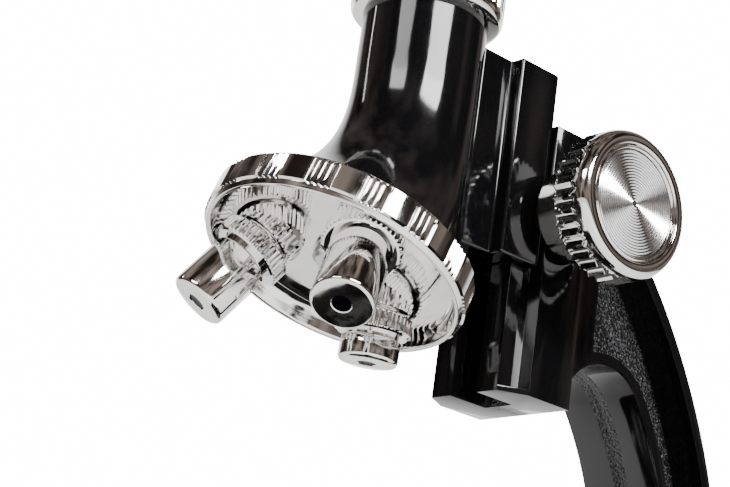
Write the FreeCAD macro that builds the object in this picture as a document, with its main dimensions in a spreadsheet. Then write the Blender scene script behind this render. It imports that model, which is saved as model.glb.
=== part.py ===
import FreeCAD, Part
import math
import os
import Sketcher

# A student's compound microscope: a tilting C-shaped arm on a weighted base, a tube that
# racks up and down in a guide block, and a tilted three-objective turret.
# +Z is up, +Y points back to the arm and +X to the right-hand focus knob. The origin is
# on the optical axis, in the surface that the feet stand on. Lengths are millimetres.

doc = FreeCAD.newDocument("Microscope")
sizes = doc.addObject("Spreadsheet::Sheet", "Sizes")
places = doc.addObject("Spreadsheet::Sheet", "Places")

DRIVING_SIZES = {
    # general fits
    "sliding_gap": 0.3, "running_gap": 0.05, "flat_gap": 0.2,
    # body tube, hood and turret
    "tube_radius": 11.75, "tube_wall": 1.5, "tube_top": 182.0,
    "hood_top": 161.0, "hood_radius": 20.8, "hood_wall": 2.6,
    "turret_height": 118.0, "turret_forward": 13.75, "turret_tilt": 20.0,
    "turret_turn": -9.75, "turret_radius": 24.65, "turret_depth": 6.8,
    "recess_radius": 23.2, "recess_depth": 4.0,
    "socket_radius": 6.2, "socket_length": 2.2,
    "pivot_radius": 2.5, "pivot_head_radius": 4.2,
    "detent_radius": 1.4, "detent_offset": 12.0,
    # objectives
    "barrel_radius": 5.45, "barrel_bore": 3.6, "barrel_front_wall": 1.0,
    "aperture_radius": 1.75, "neck_radius": 4.9, "stub_radius": 3.9,
    "grip_radius": 7.0, "grip_length": 3.7, "grip_start": 2.9,
    "lens_radius": 3.5, "lens_thickness": 1.6,
    "short_length": 50.4, "middle_length": 57.2, "long_length": 58.9,
    # chrome ring, draw tube and eyepiece
    "ring_bottom": 171.5, "ring_height": 8.0, "ring_thickness": 2.65,
    "draw_fit": 0.15, "draw_wall": 1.2, "draw_out": 9.0, "draw_inside": 34.0,
    "draw_bore_bottom": 139.0,
    "eyepiece_radius": 13.2, "eyepiece_length": 21.0, "cup_length": 9.0,
    "cup_radius": 10.6, "eye_lens_radius": 6.5,
    # guide block and carriage
    "guide_front": 21.2, "guide_depth": 16.0, "guide_half_width": 11.5,
    "guide_bottom": 105.3, "guide_height": 52.7, "lip_half_width": 8.5,
    "rebate_depth": 5.2, "stop_web": 1.0, "slot_half_width": 3.5, "slot_depth": 9.2,
    "groove_front": 2.0, "groove_depth": 2.0, "groove_reach": 1.8, "groove_floor": 3.0,
    "carriage_bottom": 129.8, "carriage_height": 38.6, "carriage_half_width": 10.6,
    "carriage_plate": 4.75, "neck_half_width": 7.6,
    # rack, pinion and focus knobs
    "gear_module": 0.6, "gear_teeth": 10, "gear_width": 5.6, "rack_width": 5.6,
    "pinion_back": 9.1, "pinion_height": 140.6, "shaft_radius": 2.0,
    "bush_radius": 3.4, "bush_flange_radius": 4.6, "bush_flange": 0.8,
    "hub_radius": 8.7, "hub_length": 8.6, "knob_radius": 13.9, "knob_face_radius": 12.6,
    "knob_rim": 6.0, "knob_shoulder": 2.3, "knob_recess_radius": 9.9,
    "knob_recess_depth": 1.0, "knob_gap": 0.4,
    # arm
    "arm_half_width": 9.5, "web_half_thickness": 1.5, "flange_thickness": 2.3,
    "bow_forward": 10.8, "hinge_height": 27.982, "bow_inner_radius": 60.0,
    "bow_depth": 15.5, "top_bow_radius": 110.3, "blend_angle": 20.2, "arch_radius": 11.5,
    "front_flange": 6.8, "knuckle_angle": 44.3, "knuckle_rib": 10.0,
    "arm_screw_radius": 1.5,
    # base and tilt joint
    "base_half_width": 42.0, "base_front": -46.0, "base_rear": 78.0, "base_top": 15.5,
    "base_wall": 2.5, "base_corner": 16.0, "pad_height": 1.5, "pad_inset": 4.0,
    "pad_width": 4.0, "cover_thickness": 2.0, "weight_thickness": 6.0,
    "lug_thickness": 5.0, "lug_radius": 8.0, "bolt_radius": 3.0, "bolt_head_radius": 7.0,
    "bolt_head_length": 3.5, "washer_thickness": 0.8,
    # stage
    "stage_top": 70.0, "stage_thickness": 4.5, "stage_half_width": 35.0,
    "stage_front": -36.0, "stage_rear": 38.0, "stage_corner": 6.0,
    "stage_hole_radius": 6.5, "bracket_half_width": 9.0, "bracket_depth": 8.0,
    "stage_screw_spacing": 5.5, "clip_pin_x": 23.0, "clip_pin_y": 25.0,
    "clip_thickness": 0.8, "clip_boss_radius": 4.5, "clip_reach": 32.0, "clip_width": 5.0,
    # diaphragm disc
    "disc_rivet_y": -15.0, "disc_radius": 22.5, "disc_thickness": 1.8,
    "rivet_radius": 1.5, "rivet_head_radius": 3.6,
    # mirror
    "tail_half_width": 7.0, "tail_thickness": 4.0, "tail_top": 26.0, "tail_nose": 8.0,
    "tail_bend": 36.0, "tail_rise": 12.0,
    "tail_foot_height": 14.0, "tail_screw_spacing": 4.5, "mirror_height": 44.0, "mirror_radius": 13.0,
    "mirror_depth": 4.0, "mirror_rim": 1.4, "mirror_lean": 40.0, "mirror_pin_radius": 1.2,
    "fork_thickness": 2.0, "fork_arm_width": 7.0, "fork_gap": 1.6, "fork_pin_radius": 2.0,
}

# Places worked out from the driving sizes, each once, for every piece that meets there.
WORKED_OUT = {
    "guide_back": "Sizes.guide_front + Sizes.guide_depth",
    "guide_rebate": "Sizes.guide_front + Sizes.rebate_depth",
    "slot_back": "Sizes.guide_front + Sizes.slot_depth",
    "plate_back": "Sizes.guide_front - Sizes.sliding_gap",
    "plate_front": "Places.plate_back - Sizes.carriage_plate",
    "pitch_radius": "Sizes.gear_module * Sizes.gear_teeth / 2",
    "pinion_y": "Sizes.guide_front + Sizes.pinion_back",
    "pitch_line": "Places.pinion_y - Places.pitch_radius",
    "rack_back": "Places.pitch_line - 0.85 * Sizes.gear_module",
    "rack_front":
        "Sizes.guide_front + Sizes.groove_front + Sizes.groove_depth - Sizes.sliding_gap",
    "apex_distance": "Sizes.turret_forward / sin(Sizes.turret_tilt * 1deg)",
    "floor_distance":
        "(Places.apex_distance - Sizes.recess_depth) / cos(Sizes.turret_tilt * 1deg)",
    "stub_distance": "(Places.apex_distance - Sizes.turret_depth)"
        " / cos(Sizes.turret_tilt * 1deg) + Sizes.stub_radius * tan(Sizes.turret_tilt * 1deg)"
        " + Sizes.flat_gap",
    "bow_outer_radius": "Sizes.bow_inner_radius + Sizes.bow_depth",
    "bow_middle_radius": "Sizes.bow_inner_radius + Sizes.bow_depth / 2",
    "bow_height":
        "Sizes.hinge_height + Places.bow_middle_radius * sin(Sizes.knuckle_angle * 1deg)",
    "hinge_y":
        "Sizes.bow_forward + Places.bow_middle_radius * cos(Sizes.knuckle_angle * 1deg)",
    "hinge_z": "Sizes.hinge_height",
    "top_bow_y": "Sizes.bow_forward - (Sizes.top_bow_radius - Places.bow_outer_radius)"
        " * cos(Sizes.blend_angle * 1deg)",
    "top_bow_z": "Places.bow_height - (Sizes.top_bow_radius - Places.bow_outer_radius)"
        " * sin(Sizes.blend_angle * 1deg)",
    "arch_y": "Places.guide_back + Sizes.arch_radius",
    "arch_z": "Places.bow_height + sqrt((Sizes.bow_inner_radius - Sizes.arch_radius)^2"
        " - (Places.arch_y - Sizes.bow_forward)^2)",
    "lug_inside": "Sizes.arm_half_width + Sizes.sliding_gap",
    "lug_outside": "Places.lug_inside + Sizes.lug_thickness",
    "stage_under": "Sizes.stage_top - Sizes.stage_thickness",
    "ring_radius": "Sizes.tube_radius + Sizes.ring_thickness",
    "draw_radius": "Sizes.tube_radius - Sizes.tube_wall - Sizes.draw_fit",
    "draw_top": "Sizes.tube_top + Sizes.draw_out",
    "eyepiece_top": "Places.draw_top + Sizes.eyepiece_length",
    "hub_start": "Sizes.guide_half_width + Sizes.bush_flange + Sizes.knob_gap",
    "knob_start": "Places.hub_start + Sizes.hub_length",
    "knob_face": "Places.knob_start + Sizes.knob_rim + Sizes.knob_shoulder",
    "stage_screw_z": "Places.stage_under - 3.5",
    "stage_seat": "Sizes.bow_forward + sqrt((Sizes.bow_inner_radius + Sizes.flange_thickness)^2"
        " - (Places.bow_height - Places.stage_screw_z - 3)^2)",
    "tail_foot": "Sizes.tail_top + Sizes.tail_rise + 2",
    "tail_screw_z": "Places.tail_foot + 8",
    "tail_seat": "Sizes.bow_forward + sqrt((Sizes.bow_inner_radius + Sizes.flange_thickness)^2"
        " - (Places.bow_height - Places.tail_screw_z - 3)^2)",
}


def fill_sheets():
    """Write the driving sizes as plain numbers, then the places as formulas."""
    for row, (name, number) in enumerate(DRIVING_SIZES.items(), start=1):
        sizes.set(f"A{row}", name)
        sizes.set(f"B{row}", str(number))
        sizes.setAlias(f"B{row}", name)
    doc.recompute()
    for row, (name, formula) in enumerate(WORKED_OUT.items(), start=1):
        places.set(f"A{row}", name)
        places.setAlias(f"B{row}", name)
        places.set(f"B{row}", "=" + formula.replace("Places.", ""))
    doc.recompute()


fill_sheets()
reader = doc.addObject("App::FeaturePython", "Reader")


def value(text):
    """The number that an expression on the two sheets has now."""
    found = reader.evalExpression(text)
    return float(getattr(found, "Value", found))


def bind(piece, settings):
    """Bind each property of a piece to its expression."""
    for name, text in settings.items():
        piece.setExpression(name, text)
    return piece


def put(piece, x, y, z):
    return bind(piece, {"Placement.Base.x": x, "Placement.Base.y": y, "Placement.Base.z": z})


AXES = {"z": (FreeCAD.Vector(0, 0, 1), 0), "x": (FreeCAD.Vector(0, 1, 0), 90),
        "y": (FreeCAD.Vector(1, 0, 0), -90)}


def aim(piece, along):
    """Turn a piece that is made along Z to run along another axis."""
    axis, angle = AXES[along]
    piece.Placement = FreeCAD.Placement(FreeCAD.Vector(), FreeCAD.Rotation(axis, angle))
    return piece


def cylinder(name, radius, length, x="0", y="0", z="0", along="z"):
    piece = aim(doc.addObject("Part::Cylinder", name), along)
    bind(piece, {"Radius": radius, "Height": length})
    return put(piece, x, y, z)


def block(name, x, y, z, width, depth, height):
    """A box with its lowest corner at x, y, z."""
    piece = doc.addObject("Part::Box", name)
    bind(piece, {"Length": width, "Width": depth, "Height": height})
    return put(piece, x, y, z)


def fuse(name, pieces):
    if len(pieces) == 1:
        return pieces[0]
    joined = doc.addObject("Part::MultiFuse", name)
    joined.Shapes = pieces
    return joined


def cut(name, base, tools):
    rest = doc.addObject("Part::Cut", name)
    rest.Base = base
    rest.Tool = fuse(name + "_tools", tools)
    return rest


def common(name, first, second):
    shared = doc.addObject("Part::MultiCommon", name)
    shared.Shapes = [first, second]
    return shared


def outline(body, name, plane, corners):
    """A closed outline in one of the body's planes. Each corner is (x, y), or
    (x, y, radius, turn) where the edge that leaves it is an arc: turn is 1 for an arc
    that runs anticlockwise and -1 for one that runs clockwise."""
    sketch = body.newObject("Sketcher::SketchObject", name)
    sketch.AttachmentSupport = [(find_plane(body, plane), "")]
    sketch.MapMode = "FlatFace"
    points = [FreeCAD.Vector(value(c[0]), value(c[1]), 0) for c in corners]
    starts, ends = [], []
    for index, corner in enumerate(corners):
        first, last = points[index], points[(index + 1) % len(points)]
        if len(corner) == 2:
            sketch.addGeometry(Part.LineSegment(first, last))
            starts.append(1)
            ends.append(2)
            continue
        turn = corner[3]
        sketch.addGeometry(arc_between(first, last, value(corner[2]), turn))
        sketch.setExpression(
            f"Constraints[{sketch.addConstraint(radius_rule(index, corner[2]))}]", corner[2])
        starts.append(1 if turn > 0 else 2)
        ends.append(2 if turn > 0 else 1)
    for index, corner in enumerate(corners):
        following = (index + 1) % len(corners)
        sketch.addConstraint(Sketcher.Constraint(
            "Coincident", index, ends[index], following, starts[following]))
        for rule, text in (("DistanceX", corner[0]), ("DistanceY", corner[1])):
            number = sketch.addConstraint(Sketcher.Constraint(
                rule, -1, 1, index, starts[index], value(text)))
            sketch.setExpression(f"Constraints[{number}]", text)
    return sketch


def radius_rule(index, text):
    return Sketcher.Constraint("Radius", index, value(text))


def arc_between(first, last, radius, turn):
    """The shorter arc of a radius from one point to another."""
    chord = last.sub(first)
    half = chord.Length / 2
    side = FreeCAD.Vector(-chord.y, chord.x, 0).normalize() * turn
    centre = first + chord * 0.5 + side * math.sqrt(max(radius ** 2 - half ** 2, 0))
    begin, end = (first, last) if turn > 0 else (last, first)
    angles = [math.atan2(p.y - centre.y, p.x - centre.x) for p in (begin, end)]
    circle = Part.Circle(centre, FreeCAD.Vector(0, 0, 1), radius)
    return Part.ArcOfCircle(circle, angles[0], angles[1])


def find_plane(body, role):
    return [plane for plane in body.Origin.OriginFeatures if plane.Role == role][0]


def new_body(label):
    body = doc.addObject("PartDesign::Body", label)
    body.Label = label
    return body


def padded(label, plane, corners, thickness, both_ways=False, backwards=False):
    """A body that is one outline pushed out of its plane."""
    body = new_body(label)
    sketch = outline(body, label + "_outline", plane, corners)
    solid = body.newObject("PartDesign::Pad", label + "_pad")
    solid.Profile = sketch
    solid.Midplane = both_ways
    solid.Reversed = backwards
    solid.setExpression("Length", thickness)
    return body


def turned(label, corners):
    """A body turned round its own Z axis from an outline of (radius, height) corners."""
    body = new_body(label)
    sketch = outline(body, label + "_outline", "XZ_Plane", corners)
    solid = body.newObject("PartDesign::Revolution", label + "_turning")
    solid.Profile = sketch
    solid.ReferenceAxis = (sketch, ["V_Axis"])
    solid.Angle = 360
    return body


def rounded(x, front, back, corner):
    """Corners of a rectangle from -x to x and front to back, rounded by a radius."""
    return [
        (f"-({x}) + {corner}", front), (f"{x} - {corner}", front, corner, 1),
        (x, f"{front} + {corner}"), (x, f"{back} - {corner}", corner, 1),
        (f"{x} - {corner}", back), (f"-({x}) + {corner}", back, corner, 1),
        (f"-({x})", f"{back} - {corner}"), (f"-({x})", f"{front} + {corner}", corner, 1),
    ]


nodes = []


def node(piece, label):
    """Mark a finished sub-part: its label is the name of its file."""
    piece.Label = label
    nodes.append(piece)
    return piece


# ---- arm: two moulded halves that meet at X = 0 and hold the guide block ----

def bow_point(radius, angle):
    """A point on the lower bow, at an angle up from straight back."""
    return (f"Sizes.bow_forward + ({radius}) * cos(({angle}) * 1deg)",
            f"Places.bow_height + ({radius}) * sin(({angle}) * 1deg)")


def arch_contact(radius):
    """Where the arch under the guide runs into the inner bow, or an offset of it."""
    reach = "(Sizes.bow_inner_radius - Sizes.arch_radius)"
    return (f"Sizes.bow_forward + ({radius}) * (Places.arch_y - Sizes.bow_forward) / {reach}",
            f"Places.bow_height + ({radius}) * (Places.arch_z - Places.bow_height) / {reach}")


def top_bow_at(radius, y):
    return (y, f"Places.top_bow_z + sqrt(({radius})^2 - ({y} - Places.top_bow_y)^2)")


def arm_side_view():
    """The arm seen from the side: arch, inner bow, knuckle, outer bow, top bow."""
    knuckle = "Sizes.bow_depth / 2"
    tip = ("Places.hinge_y - Sizes.bow_depth / 2 * sin(Sizes.knuckle_angle * 1deg)",
           "Places.hinge_z - Sizes.bow_depth / 2 * cos(Sizes.knuckle_angle * 1deg)")
    inside = "Places.guide_back - 1"
    top = top_bow_at("Sizes.top_bow_radius", "Places.guide_back")
    return [
        (inside, "Places.arch_z"),
        ("Places.guide_back", "Places.arch_z", "Sizes.arch_radius", -1),
        arch_contact("Sizes.bow_inner_radius") + ("Sizes.bow_inner_radius", -1),
        bow_point("Sizes.bow_inner_radius", "-Sizes.knuckle_angle") + (knuckle, 1),
        tip + (knuckle, 1),
        bow_point("Places.bow_outer_radius", "-Sizes.knuckle_angle")
        + ("Places.bow_outer_radius", 1),
        bow_point("Places.bow_outer_radius", "Sizes.blend_angle")
        + ("Sizes.top_bow_radius", 1),
        top,
        (inside, top[1]),
    ]


def arm_recess_view():
    """The hollow beside the web, one flange thickness inside the arm's edge."""
    left = "Places.guide_back + Sizes.front_flange"
    inner = "Sizes.bow_inner_radius + Sizes.flange_thickness"
    outer = "Places.bow_outer_radius - Sizes.flange_thickness"
    top = "Sizes.top_bow_radius - Sizes.flange_thickness"
    arch = "Sizes.arch_radius + Sizes.flange_thickness"
    foot = "Sizes.knuckle_rib - Sizes.knuckle_angle"
    start = f"Places.arch_z + sqrt(({arch})^2 - ({left} - Places.arch_y)^2)"
    return [
        (left, start, arch, -1),
        arch_contact(inner) + (inner, -1),
        bow_point(inner, foot),
        bow_point(outer, foot) + (outer, 1),
        bow_point(outer, "Sizes.blend_angle") + (top, 1),
        top_bow_at(top, left),
    ]


SCREW_ANGLES = ("-2", "-22")
ARM_SCREWS = [bow_point("Places.bow_middle_radius", angle) for angle in SCREW_ANGLES]
GUIDE_SCREW = ("Places.guide_back - 3.2", "Sizes.guide_bottom + 9")
SCREW_BOSS = "5"
GUIDE_SCREW_SEAT = "(Sizes.guide_half_width - 2.5)"


def arm_half(side):
    """One half of the arm, made on the +X side."""
    guide = padded(f"guide_{side}", "XY_Plane", [
        ("0", "Places.slot_back"), ("Sizes.slot_half_width", "Places.slot_back"),
        ("Sizes.slot_half_width", "Sizes.guide_front"),
        ("Sizes.lip_half_width", "Sizes.guide_front"),
        ("Sizes.lip_half_width", "Places.guide_rebate"),
        ("Sizes.guide_half_width", "Places.guide_rebate"),
        ("Sizes.guide_half_width", "Places.guide_back"), ("0", "Places.guide_back"),
    ], "Sizes.guide_height")
    put(guide, "0", "0", "Sizes.guide_bottom")
    stop = padded(f"stop_{side}", "XY_Plane", [
        ("Sizes.lip_half_width", "Sizes.guide_front"),
        ("Sizes.guide_half_width", "Places.guide_rebate"),
        ("Sizes.lip_half_width", "Places.guide_rebate"),
    ], "Sizes.stop_web")
    put(stop, "0", "0", "Sizes.guide_bottom")
    bow = padded(f"bow_{side}", "YZ_Plane", arm_side_view(), "Sizes.arm_half_width")
    recess = padded(f"recess_{side}", "YZ_Plane", arm_recess_view(), "Sizes.arm_half_width")
    put(recess, "Sizes.web_half_thickness", "0", "0")
    shell = cut(f"shell_{side}", fuse(f"solid_{side}", [guide, stop, bow]), [recess])
    bosses = [cylinder(f"boss_{side}_{number}", "2.6 * Sizes.arm_screw_radius", SCREW_BOSS,
                       "0", y, z, "x") for number, (y, z) in enumerate(ARM_SCREWS)]
    tools = [
        cylinder(f"bolt_hole_{side}", "Sizes.bolt_radius + Sizes.running_gap",
                 "Sizes.arm_half_width", "0", "Places.hinge_y", "Places.hinge_z", "x"),
        cylinder(f"bush_hole_{side}", "Sizes.bush_radius", "Sizes.guide_half_width",
                 "0", "Places.pinion_y", "Sizes.pinion_height", "x"),
        cylinder(f"gear_pocket_{side}", "Places.pitch_radius + 1.4 * Sizes.gear_module",
                 "Sizes.slot_half_width", "0", "Places.pinion_y", "Sizes.pinion_height", "x"),
        block(f"groove_{side}", "0", "Sizes.guide_front + Sizes.groove_front",
              "Sizes.guide_bottom + Sizes.groove_floor",
              "Sizes.slot_half_width + Sizes.groove_reach", "Sizes.groove_depth",
              "Sizes.guide_height"),
    ]
    for number, (y, z) in enumerate(ARM_SCREWS):
        tools.append(cylinder(f"screw_hole_{side}_{number}", "Sizes.arm_screw_radius",
                              SCREW_BOSS, "0", y, z, "x"))
    for name, x in (("left", "-1"), ("right", "1")):
        tools.append(cylinder(
            f"stage_hole_{side}_{name}", "Sizes.arm_screw_radius",
            "8", f"{x} * Sizes.stage_screw_spacing", "Places.stage_seat - 5",
            "Places.stage_screw_z", "y"))
        tools.append(cylinder(
            f"tail_hole_{side}_{name}", "Sizes.arm_screw_radius", "8",
            f"{x} * Sizes.tail_screw_spacing", "Places.tail_seat - 5",
            "Places.tail_screw_z", "y"))
    depth = "Sizes.guide_half_width - 3" if side == "right" else "Sizes.guide_half_width"
    tools.append(cylinder(f"guide_screw_hole_{side}", "Sizes.arm_screw_radius", depth,
                          "0", *GUIDE_SCREW, "x"))
    if side == "left":
        tools.append(cylinder("guide_screw_seat", "2.1 * Sizes.arm_screw_radius", "3",
                              GUIDE_SCREW_SEAT, *GUIDE_SCREW, "x"))
    return cut(f"half_{side}", fuse(f"bossed_{side}", [shell] + bosses), tools)


node(arm_half("right"), "arm_right")
mirrored = doc.addObject("Part::Mirroring", "arm_left_mirrored")
mirrored.Source = arm_half("left")
mirrored.Normal = FreeCAD.Vector(1, 0, 0)
node(mirrored, "arm_left")


def screw(name, radius, length, head_radius, head, x, y, z, along, backwards=False):
    """A plain screw whose head starts at the given point and whose shank runs back."""
    axis = {"x": 0, "y": 1, "z": 2}[along]
    start = [x, y, z]
    shank_at, head_at = list(start), list(start)
    if backwards:
        head_at[axis] = f"{start[axis]} - {head}"
    else:
        shank_at[axis] = f"{start[axis]} - {length}"
    shank = cylinder(name + "_shank", radius, length, *shank_at, along)
    return [shank, cylinder(name + "_head", head_radius, head, *head_at, along)]


arm_screws = []
for number, (y, z) in enumerate(ARM_SCREWS):
    arm_screws += screw(f"arm_screw_{number}", "Sizes.arm_screw_radius", f"{SCREW_BOSS} * 2",
                        "2 * Sizes.arm_screw_radius", "1.6", f"-{SCREW_BOSS}", y, z, "x", True)
arm_screws += screw("guide_screw", "Sizes.arm_screw_radius",
                    f"{GUIDE_SCREW_SEAT} + Sizes.guide_half_width - 3",
                    "2 * Sizes.arm_screw_radius", "1.6", f"-{GUIDE_SCREW_SEAT}",
                    *GUIDE_SCREW, "x", True)
node(fuse("arm_screw_set", arm_screws), "arm_screws")

bushes = []
for side, sign in (("right", 1), ("left", -1)):
    bush = turned(f"bush_{side}", [
        ("Sizes.shaft_radius + Sizes.running_gap", "Sizes.slot_half_width + 0.2"),
        ("Sizes.bush_radius", "Sizes.slot_half_width + 0.2"),
        ("Sizes.bush_radius", "Sizes.guide_half_width"),
        ("Sizes.bush_flange_radius", "Sizes.guide_half_width"),
        ("Sizes.bush_flange_radius", "Sizes.guide_half_width + Sizes.bush_flange"),
        ("Sizes.shaft_radius + Sizes.running_gap", "Sizes.guide_half_width + Sizes.bush_flange"),
    ])
    bush.Placement.Rotation = FreeCAD.Rotation(FreeCAD.Vector(0, 1, 0), 90 * sign)
    bushes.append(put(bush, "0", "Places.pinion_y", "Sizes.pinion_height"))
node(fuse("bush_pair", bushes), "pinion_bushes")

# ---- body tube: tube, hood, neck and carriage in one moulding, and what it carries ----

def tilted(angle):
    return FreeCAD.Rotation(FreeCAD.Vector(1, 0, 0), angle)


def turret_placement(turn=0.0, lean=0.0, along=0.0):
    """The turret's own frame: Z runs up its axis from the middle of its face. A turn
    goes round that axis from the rear towards +X, and a lean tips back from it."""
    tilt = tilted(-value("Sizes.turret_tilt"))
    spin = FreeCAD.Rotation(FreeCAD.Vector(0, 0, 1), -turn)
    face = FreeCAD.Vector(0, -value("Sizes.turret_forward"), value("Sizes.turret_height"))
    start = face + tilt.multVec(FreeCAD.Vector(0, 0, along))
    return FreeCAD.Placement(start, tilt * spin * tilted(lean))


HOOD_SHARES = (0.0, 0.3, 0.5, 0.68, 0.84, 1.0)
FLARE_POWER = 2.8


def hood(name, wall, floor):
    """The flare from the round tube to the tilted rim over the turret's back."""
    rings = []
    seat = f"(Sizes.turret_depth + Sizes.sliding_gap + {floor})"
    low_y = f"({seat} * sin(Sizes.turret_tilt * 1deg) - Sizes.turret_forward)"
    low_z = f"(Sizes.turret_height + {seat} * cos(Sizes.turret_tilt * 1deg))"
    for number, share in enumerate(HOOD_SHARES):
        flare = round(share ** FLARE_POWER, 4)
        ring = doc.addObject("Part::Circle", f"{name}_ring_{number}")
        ring.Placement.Rotation = tilted(1)
        bind(ring, {
            "Radius": f"Sizes.tube_radius - {wall}"
                      f" + (Sizes.hood_radius - Sizes.tube_radius) * {flare}",
            "Placement.Base.y": f"{low_y} * {flare}",
            "Placement.Base.z": f"Sizes.hood_top + ({low_z} - Sizes.hood_top) * {share}",
            "Placement.Rotation.Angle": f"-Sizes.turret_tilt * {share}",
        })
        rings.append(ring)
    flare = doc.addObject("Part::Loft", name)
    flare.Sections = rings
    flare.Solid = True
    return flare


def body_tube():
    width = "Sizes.slot_half_width - Sizes.sliding_gap"
    wing = f"({width} + Sizes.groove_reach - 0.2)"
    wing_front = "Sizes.guide_front + Sizes.groove_front + Sizes.sliding_gap"
    cheek_inside = "Sizes.lip_half_width + Sizes.sliding_gap"
    bottom, tall = "Sizes.carriage_bottom", "Sizes.carriage_height"
    solids = [
        cylinder("tube_outside", "Sizes.tube_radius", "Sizes.tube_top - Sizes.hood_top",
                 "0", "0", "Sizes.hood_top"),
        hood("hood_outside", "0", "0"),
        block("neck", "-Sizes.neck_half_width", "Sizes.tube_radius - 4", bottom,
              "2 * Sizes.neck_half_width", "Places.plate_front - Sizes.tube_radius + 5", tall),
        block("carriage_plate", "-Sizes.carriage_half_width", "Places.plate_front", bottom,
              "2 * Sizes.carriage_half_width", "Sizes.carriage_plate", tall),
        block("tongue", f"-({width})", "Places.plate_back - 1", bottom, f"2 * ({width})",
              "Places.rack_front - Places.plate_back + 1", tall),
        block("tongue_wings", f"-{wing}", wing_front, f"{bottom} + 3", f"2 * {wing}",
              f"Places.rack_front - ({wing_front})", f"{tall} - 3"),
    ]
    for name, x in (("right", cheek_inside), ("left", "-Sizes.carriage_half_width")):
        solids.append(block(
            f"cheek_{name}", x, "Places.plate_back - 1", bottom,
            f"Sizes.carriage_half_width - ({cheek_inside})",
            "Sizes.rebate_depth + 1", tall))
    bore = "(Sizes.tube_radius - Sizes.tube_wall)"
    hollow = [
        cylinder("tube_bore", bore, "Sizes.tube_top - Sizes.draw_bore_bottom + 1",
                 "0", "0", "Sizes.draw_bore_bottom"),
        hood("hood_inside", "Sizes.hood_wall", "Sizes.hood_wall"),
        cylinder("light_path", "Sizes.stub_radius + 1", "Sizes.hood_top - 100", "0", "0", "100"),
    ]
    shell = cut("tube_shell", fuse("tube_solid", solids), hollow)
    boss = doc.addObject("Part::Cylinder", "pivot_boss")
    bind(boss, {"Radius": "2 * Sizes.pivot_radius", "Height": "10"})
    boss.Placement = turret_placement(along=value("Sizes.turret_depth + Sizes.sliding_gap"))
    post = doc.addObject("Part::Cylinder", "detent_boss")
    bind(post, {"Radius": "3", "Height": "9"})
    seat = turret_placement(along=value("Sizes.turret_depth + Sizes.sliding_gap"))
    post.Placement = FreeCAD.Placement(
        seat.multVec(FreeCAD.Vector(0, -value("Sizes.detent_offset"), 0)), seat.Rotation)
    bores = []
    for name, radius, length, offset in (
            ("pivot_bore", "Sizes.pivot_radius - Sizes.running_gap", "8", "0"),
            ("detent_bore", "Sizes.detent_radius + 0.1", "7", "-Sizes.detent_offset")):
        tool = doc.addObject("Part::Cylinder", name)
        bind(tool, {"Radius": radius, "Height": length})
        tool.Placement = FreeCAD.Placement(
            seat.multVec(FreeCAD.Vector(0, value(offset), -1)), seat.Rotation)
        bores.append(tool)
    return cut("body_tube_bored", fuse("body_tube_whole", [shell, boss, post]), bores)


node(body_tube(), "body_tube")

pivot = turned("pivot_screw", [
    ("0", "1.2"), ("Sizes.pivot_head_radius - 0.8", "1.2"),
    ("Sizes.pivot_head_radius", "1.9"), ("Sizes.pivot_head_radius", "3.1"),
    ("Sizes.pivot_radius - Sizes.running_gap", "3.1"),
    ("Sizes.pivot_radius - Sizes.running_gap", "Sizes.turret_depth + 7"),
    ("0", "Sizes.turret_depth + 7"),
])
pivot.Placement = turret_placement()
node(pivot, "turret_pivot_screw")

washer = turned("pivot_washer", [
    ("Sizes.pivot_radius + 0.1", "3.1"), ("Sizes.pivot_head_radius + 0.4", "3.1"),
    ("Sizes.pivot_head_radius + 0.4", "3.7"), ("Sizes.pivot_radius + 0.1", "3.7"),
])
washer.Placement = turret_placement()
node(washer, "turret_spring_washer")

ball = doc.addObject("Part::Sphere", "detent_ball_sphere")
ball.setExpression("Radius", "Sizes.detent_radius")
ball_lift = "Sizes.turret_depth + Sizes.detent_radius + 0.1"
ball.Placement.Base = turret_placement(along=value(ball_lift)).multVec(
    FreeCAD.Vector(0, -value("Sizes.detent_offset"), 0))
node(ball, "detent_ball")

coil = doc.addObject("Part::Helix", "detent_coil")
coil.Pitch = 0.8
coil.Height = 3.2
coil.Radius = value("Sizes.detent_radius") - 0.3
wire = doc.addObject("Part::Circle", "detent_wire")
wire.Radius = 0.2
wire.Placement = FreeCAD.Placement(
    FreeCAD.Vector(coil.Radius, 0, 0), FreeCAD.Rotation(FreeCAD.Vector(1, 0, 0), 90))
spring = doc.addObject("Part::Sweep", "detent_spring_sweep")
doc.recompute()
spring.Sections = [wire]
spring.Spine = (coil, ["Edge1"])
spring.Solid = True
spring.Frenet = True
spring.Placement = FreeCAD.Placement(
    turret_placement(along=value(ball_lift) + value("Sizes.detent_radius") - 0.3).multVec(
        FreeCAD.Vector(0, -value("Sizes.detent_offset"), 0)), turret_placement().Rotation)
node(spring, "detent_spring")

ring_inside = "Sizes.tube_radius"
ring_top = "Sizes.ring_bottom + Sizes.ring_height"
node(turned("ring_turned", [
    (ring_inside, "Sizes.ring_bottom"), ("Places.ring_radius - 0.8", "Sizes.ring_bottom"),
    ("Places.ring_radius", "Sizes.ring_bottom + 0.8"), ("Places.ring_radius", f"{ring_top} - 0.8"),
    ("Places.ring_radius - 0.8", ring_top), (ring_inside, ring_top),
]), "tube_ring")


# ---- rack and pinion ----

PRESSURE_ANGLE = 30.0
ADDENDUM, DEDENDUM = 0.6, 0.85
BACKLASH = 0.08


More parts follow.
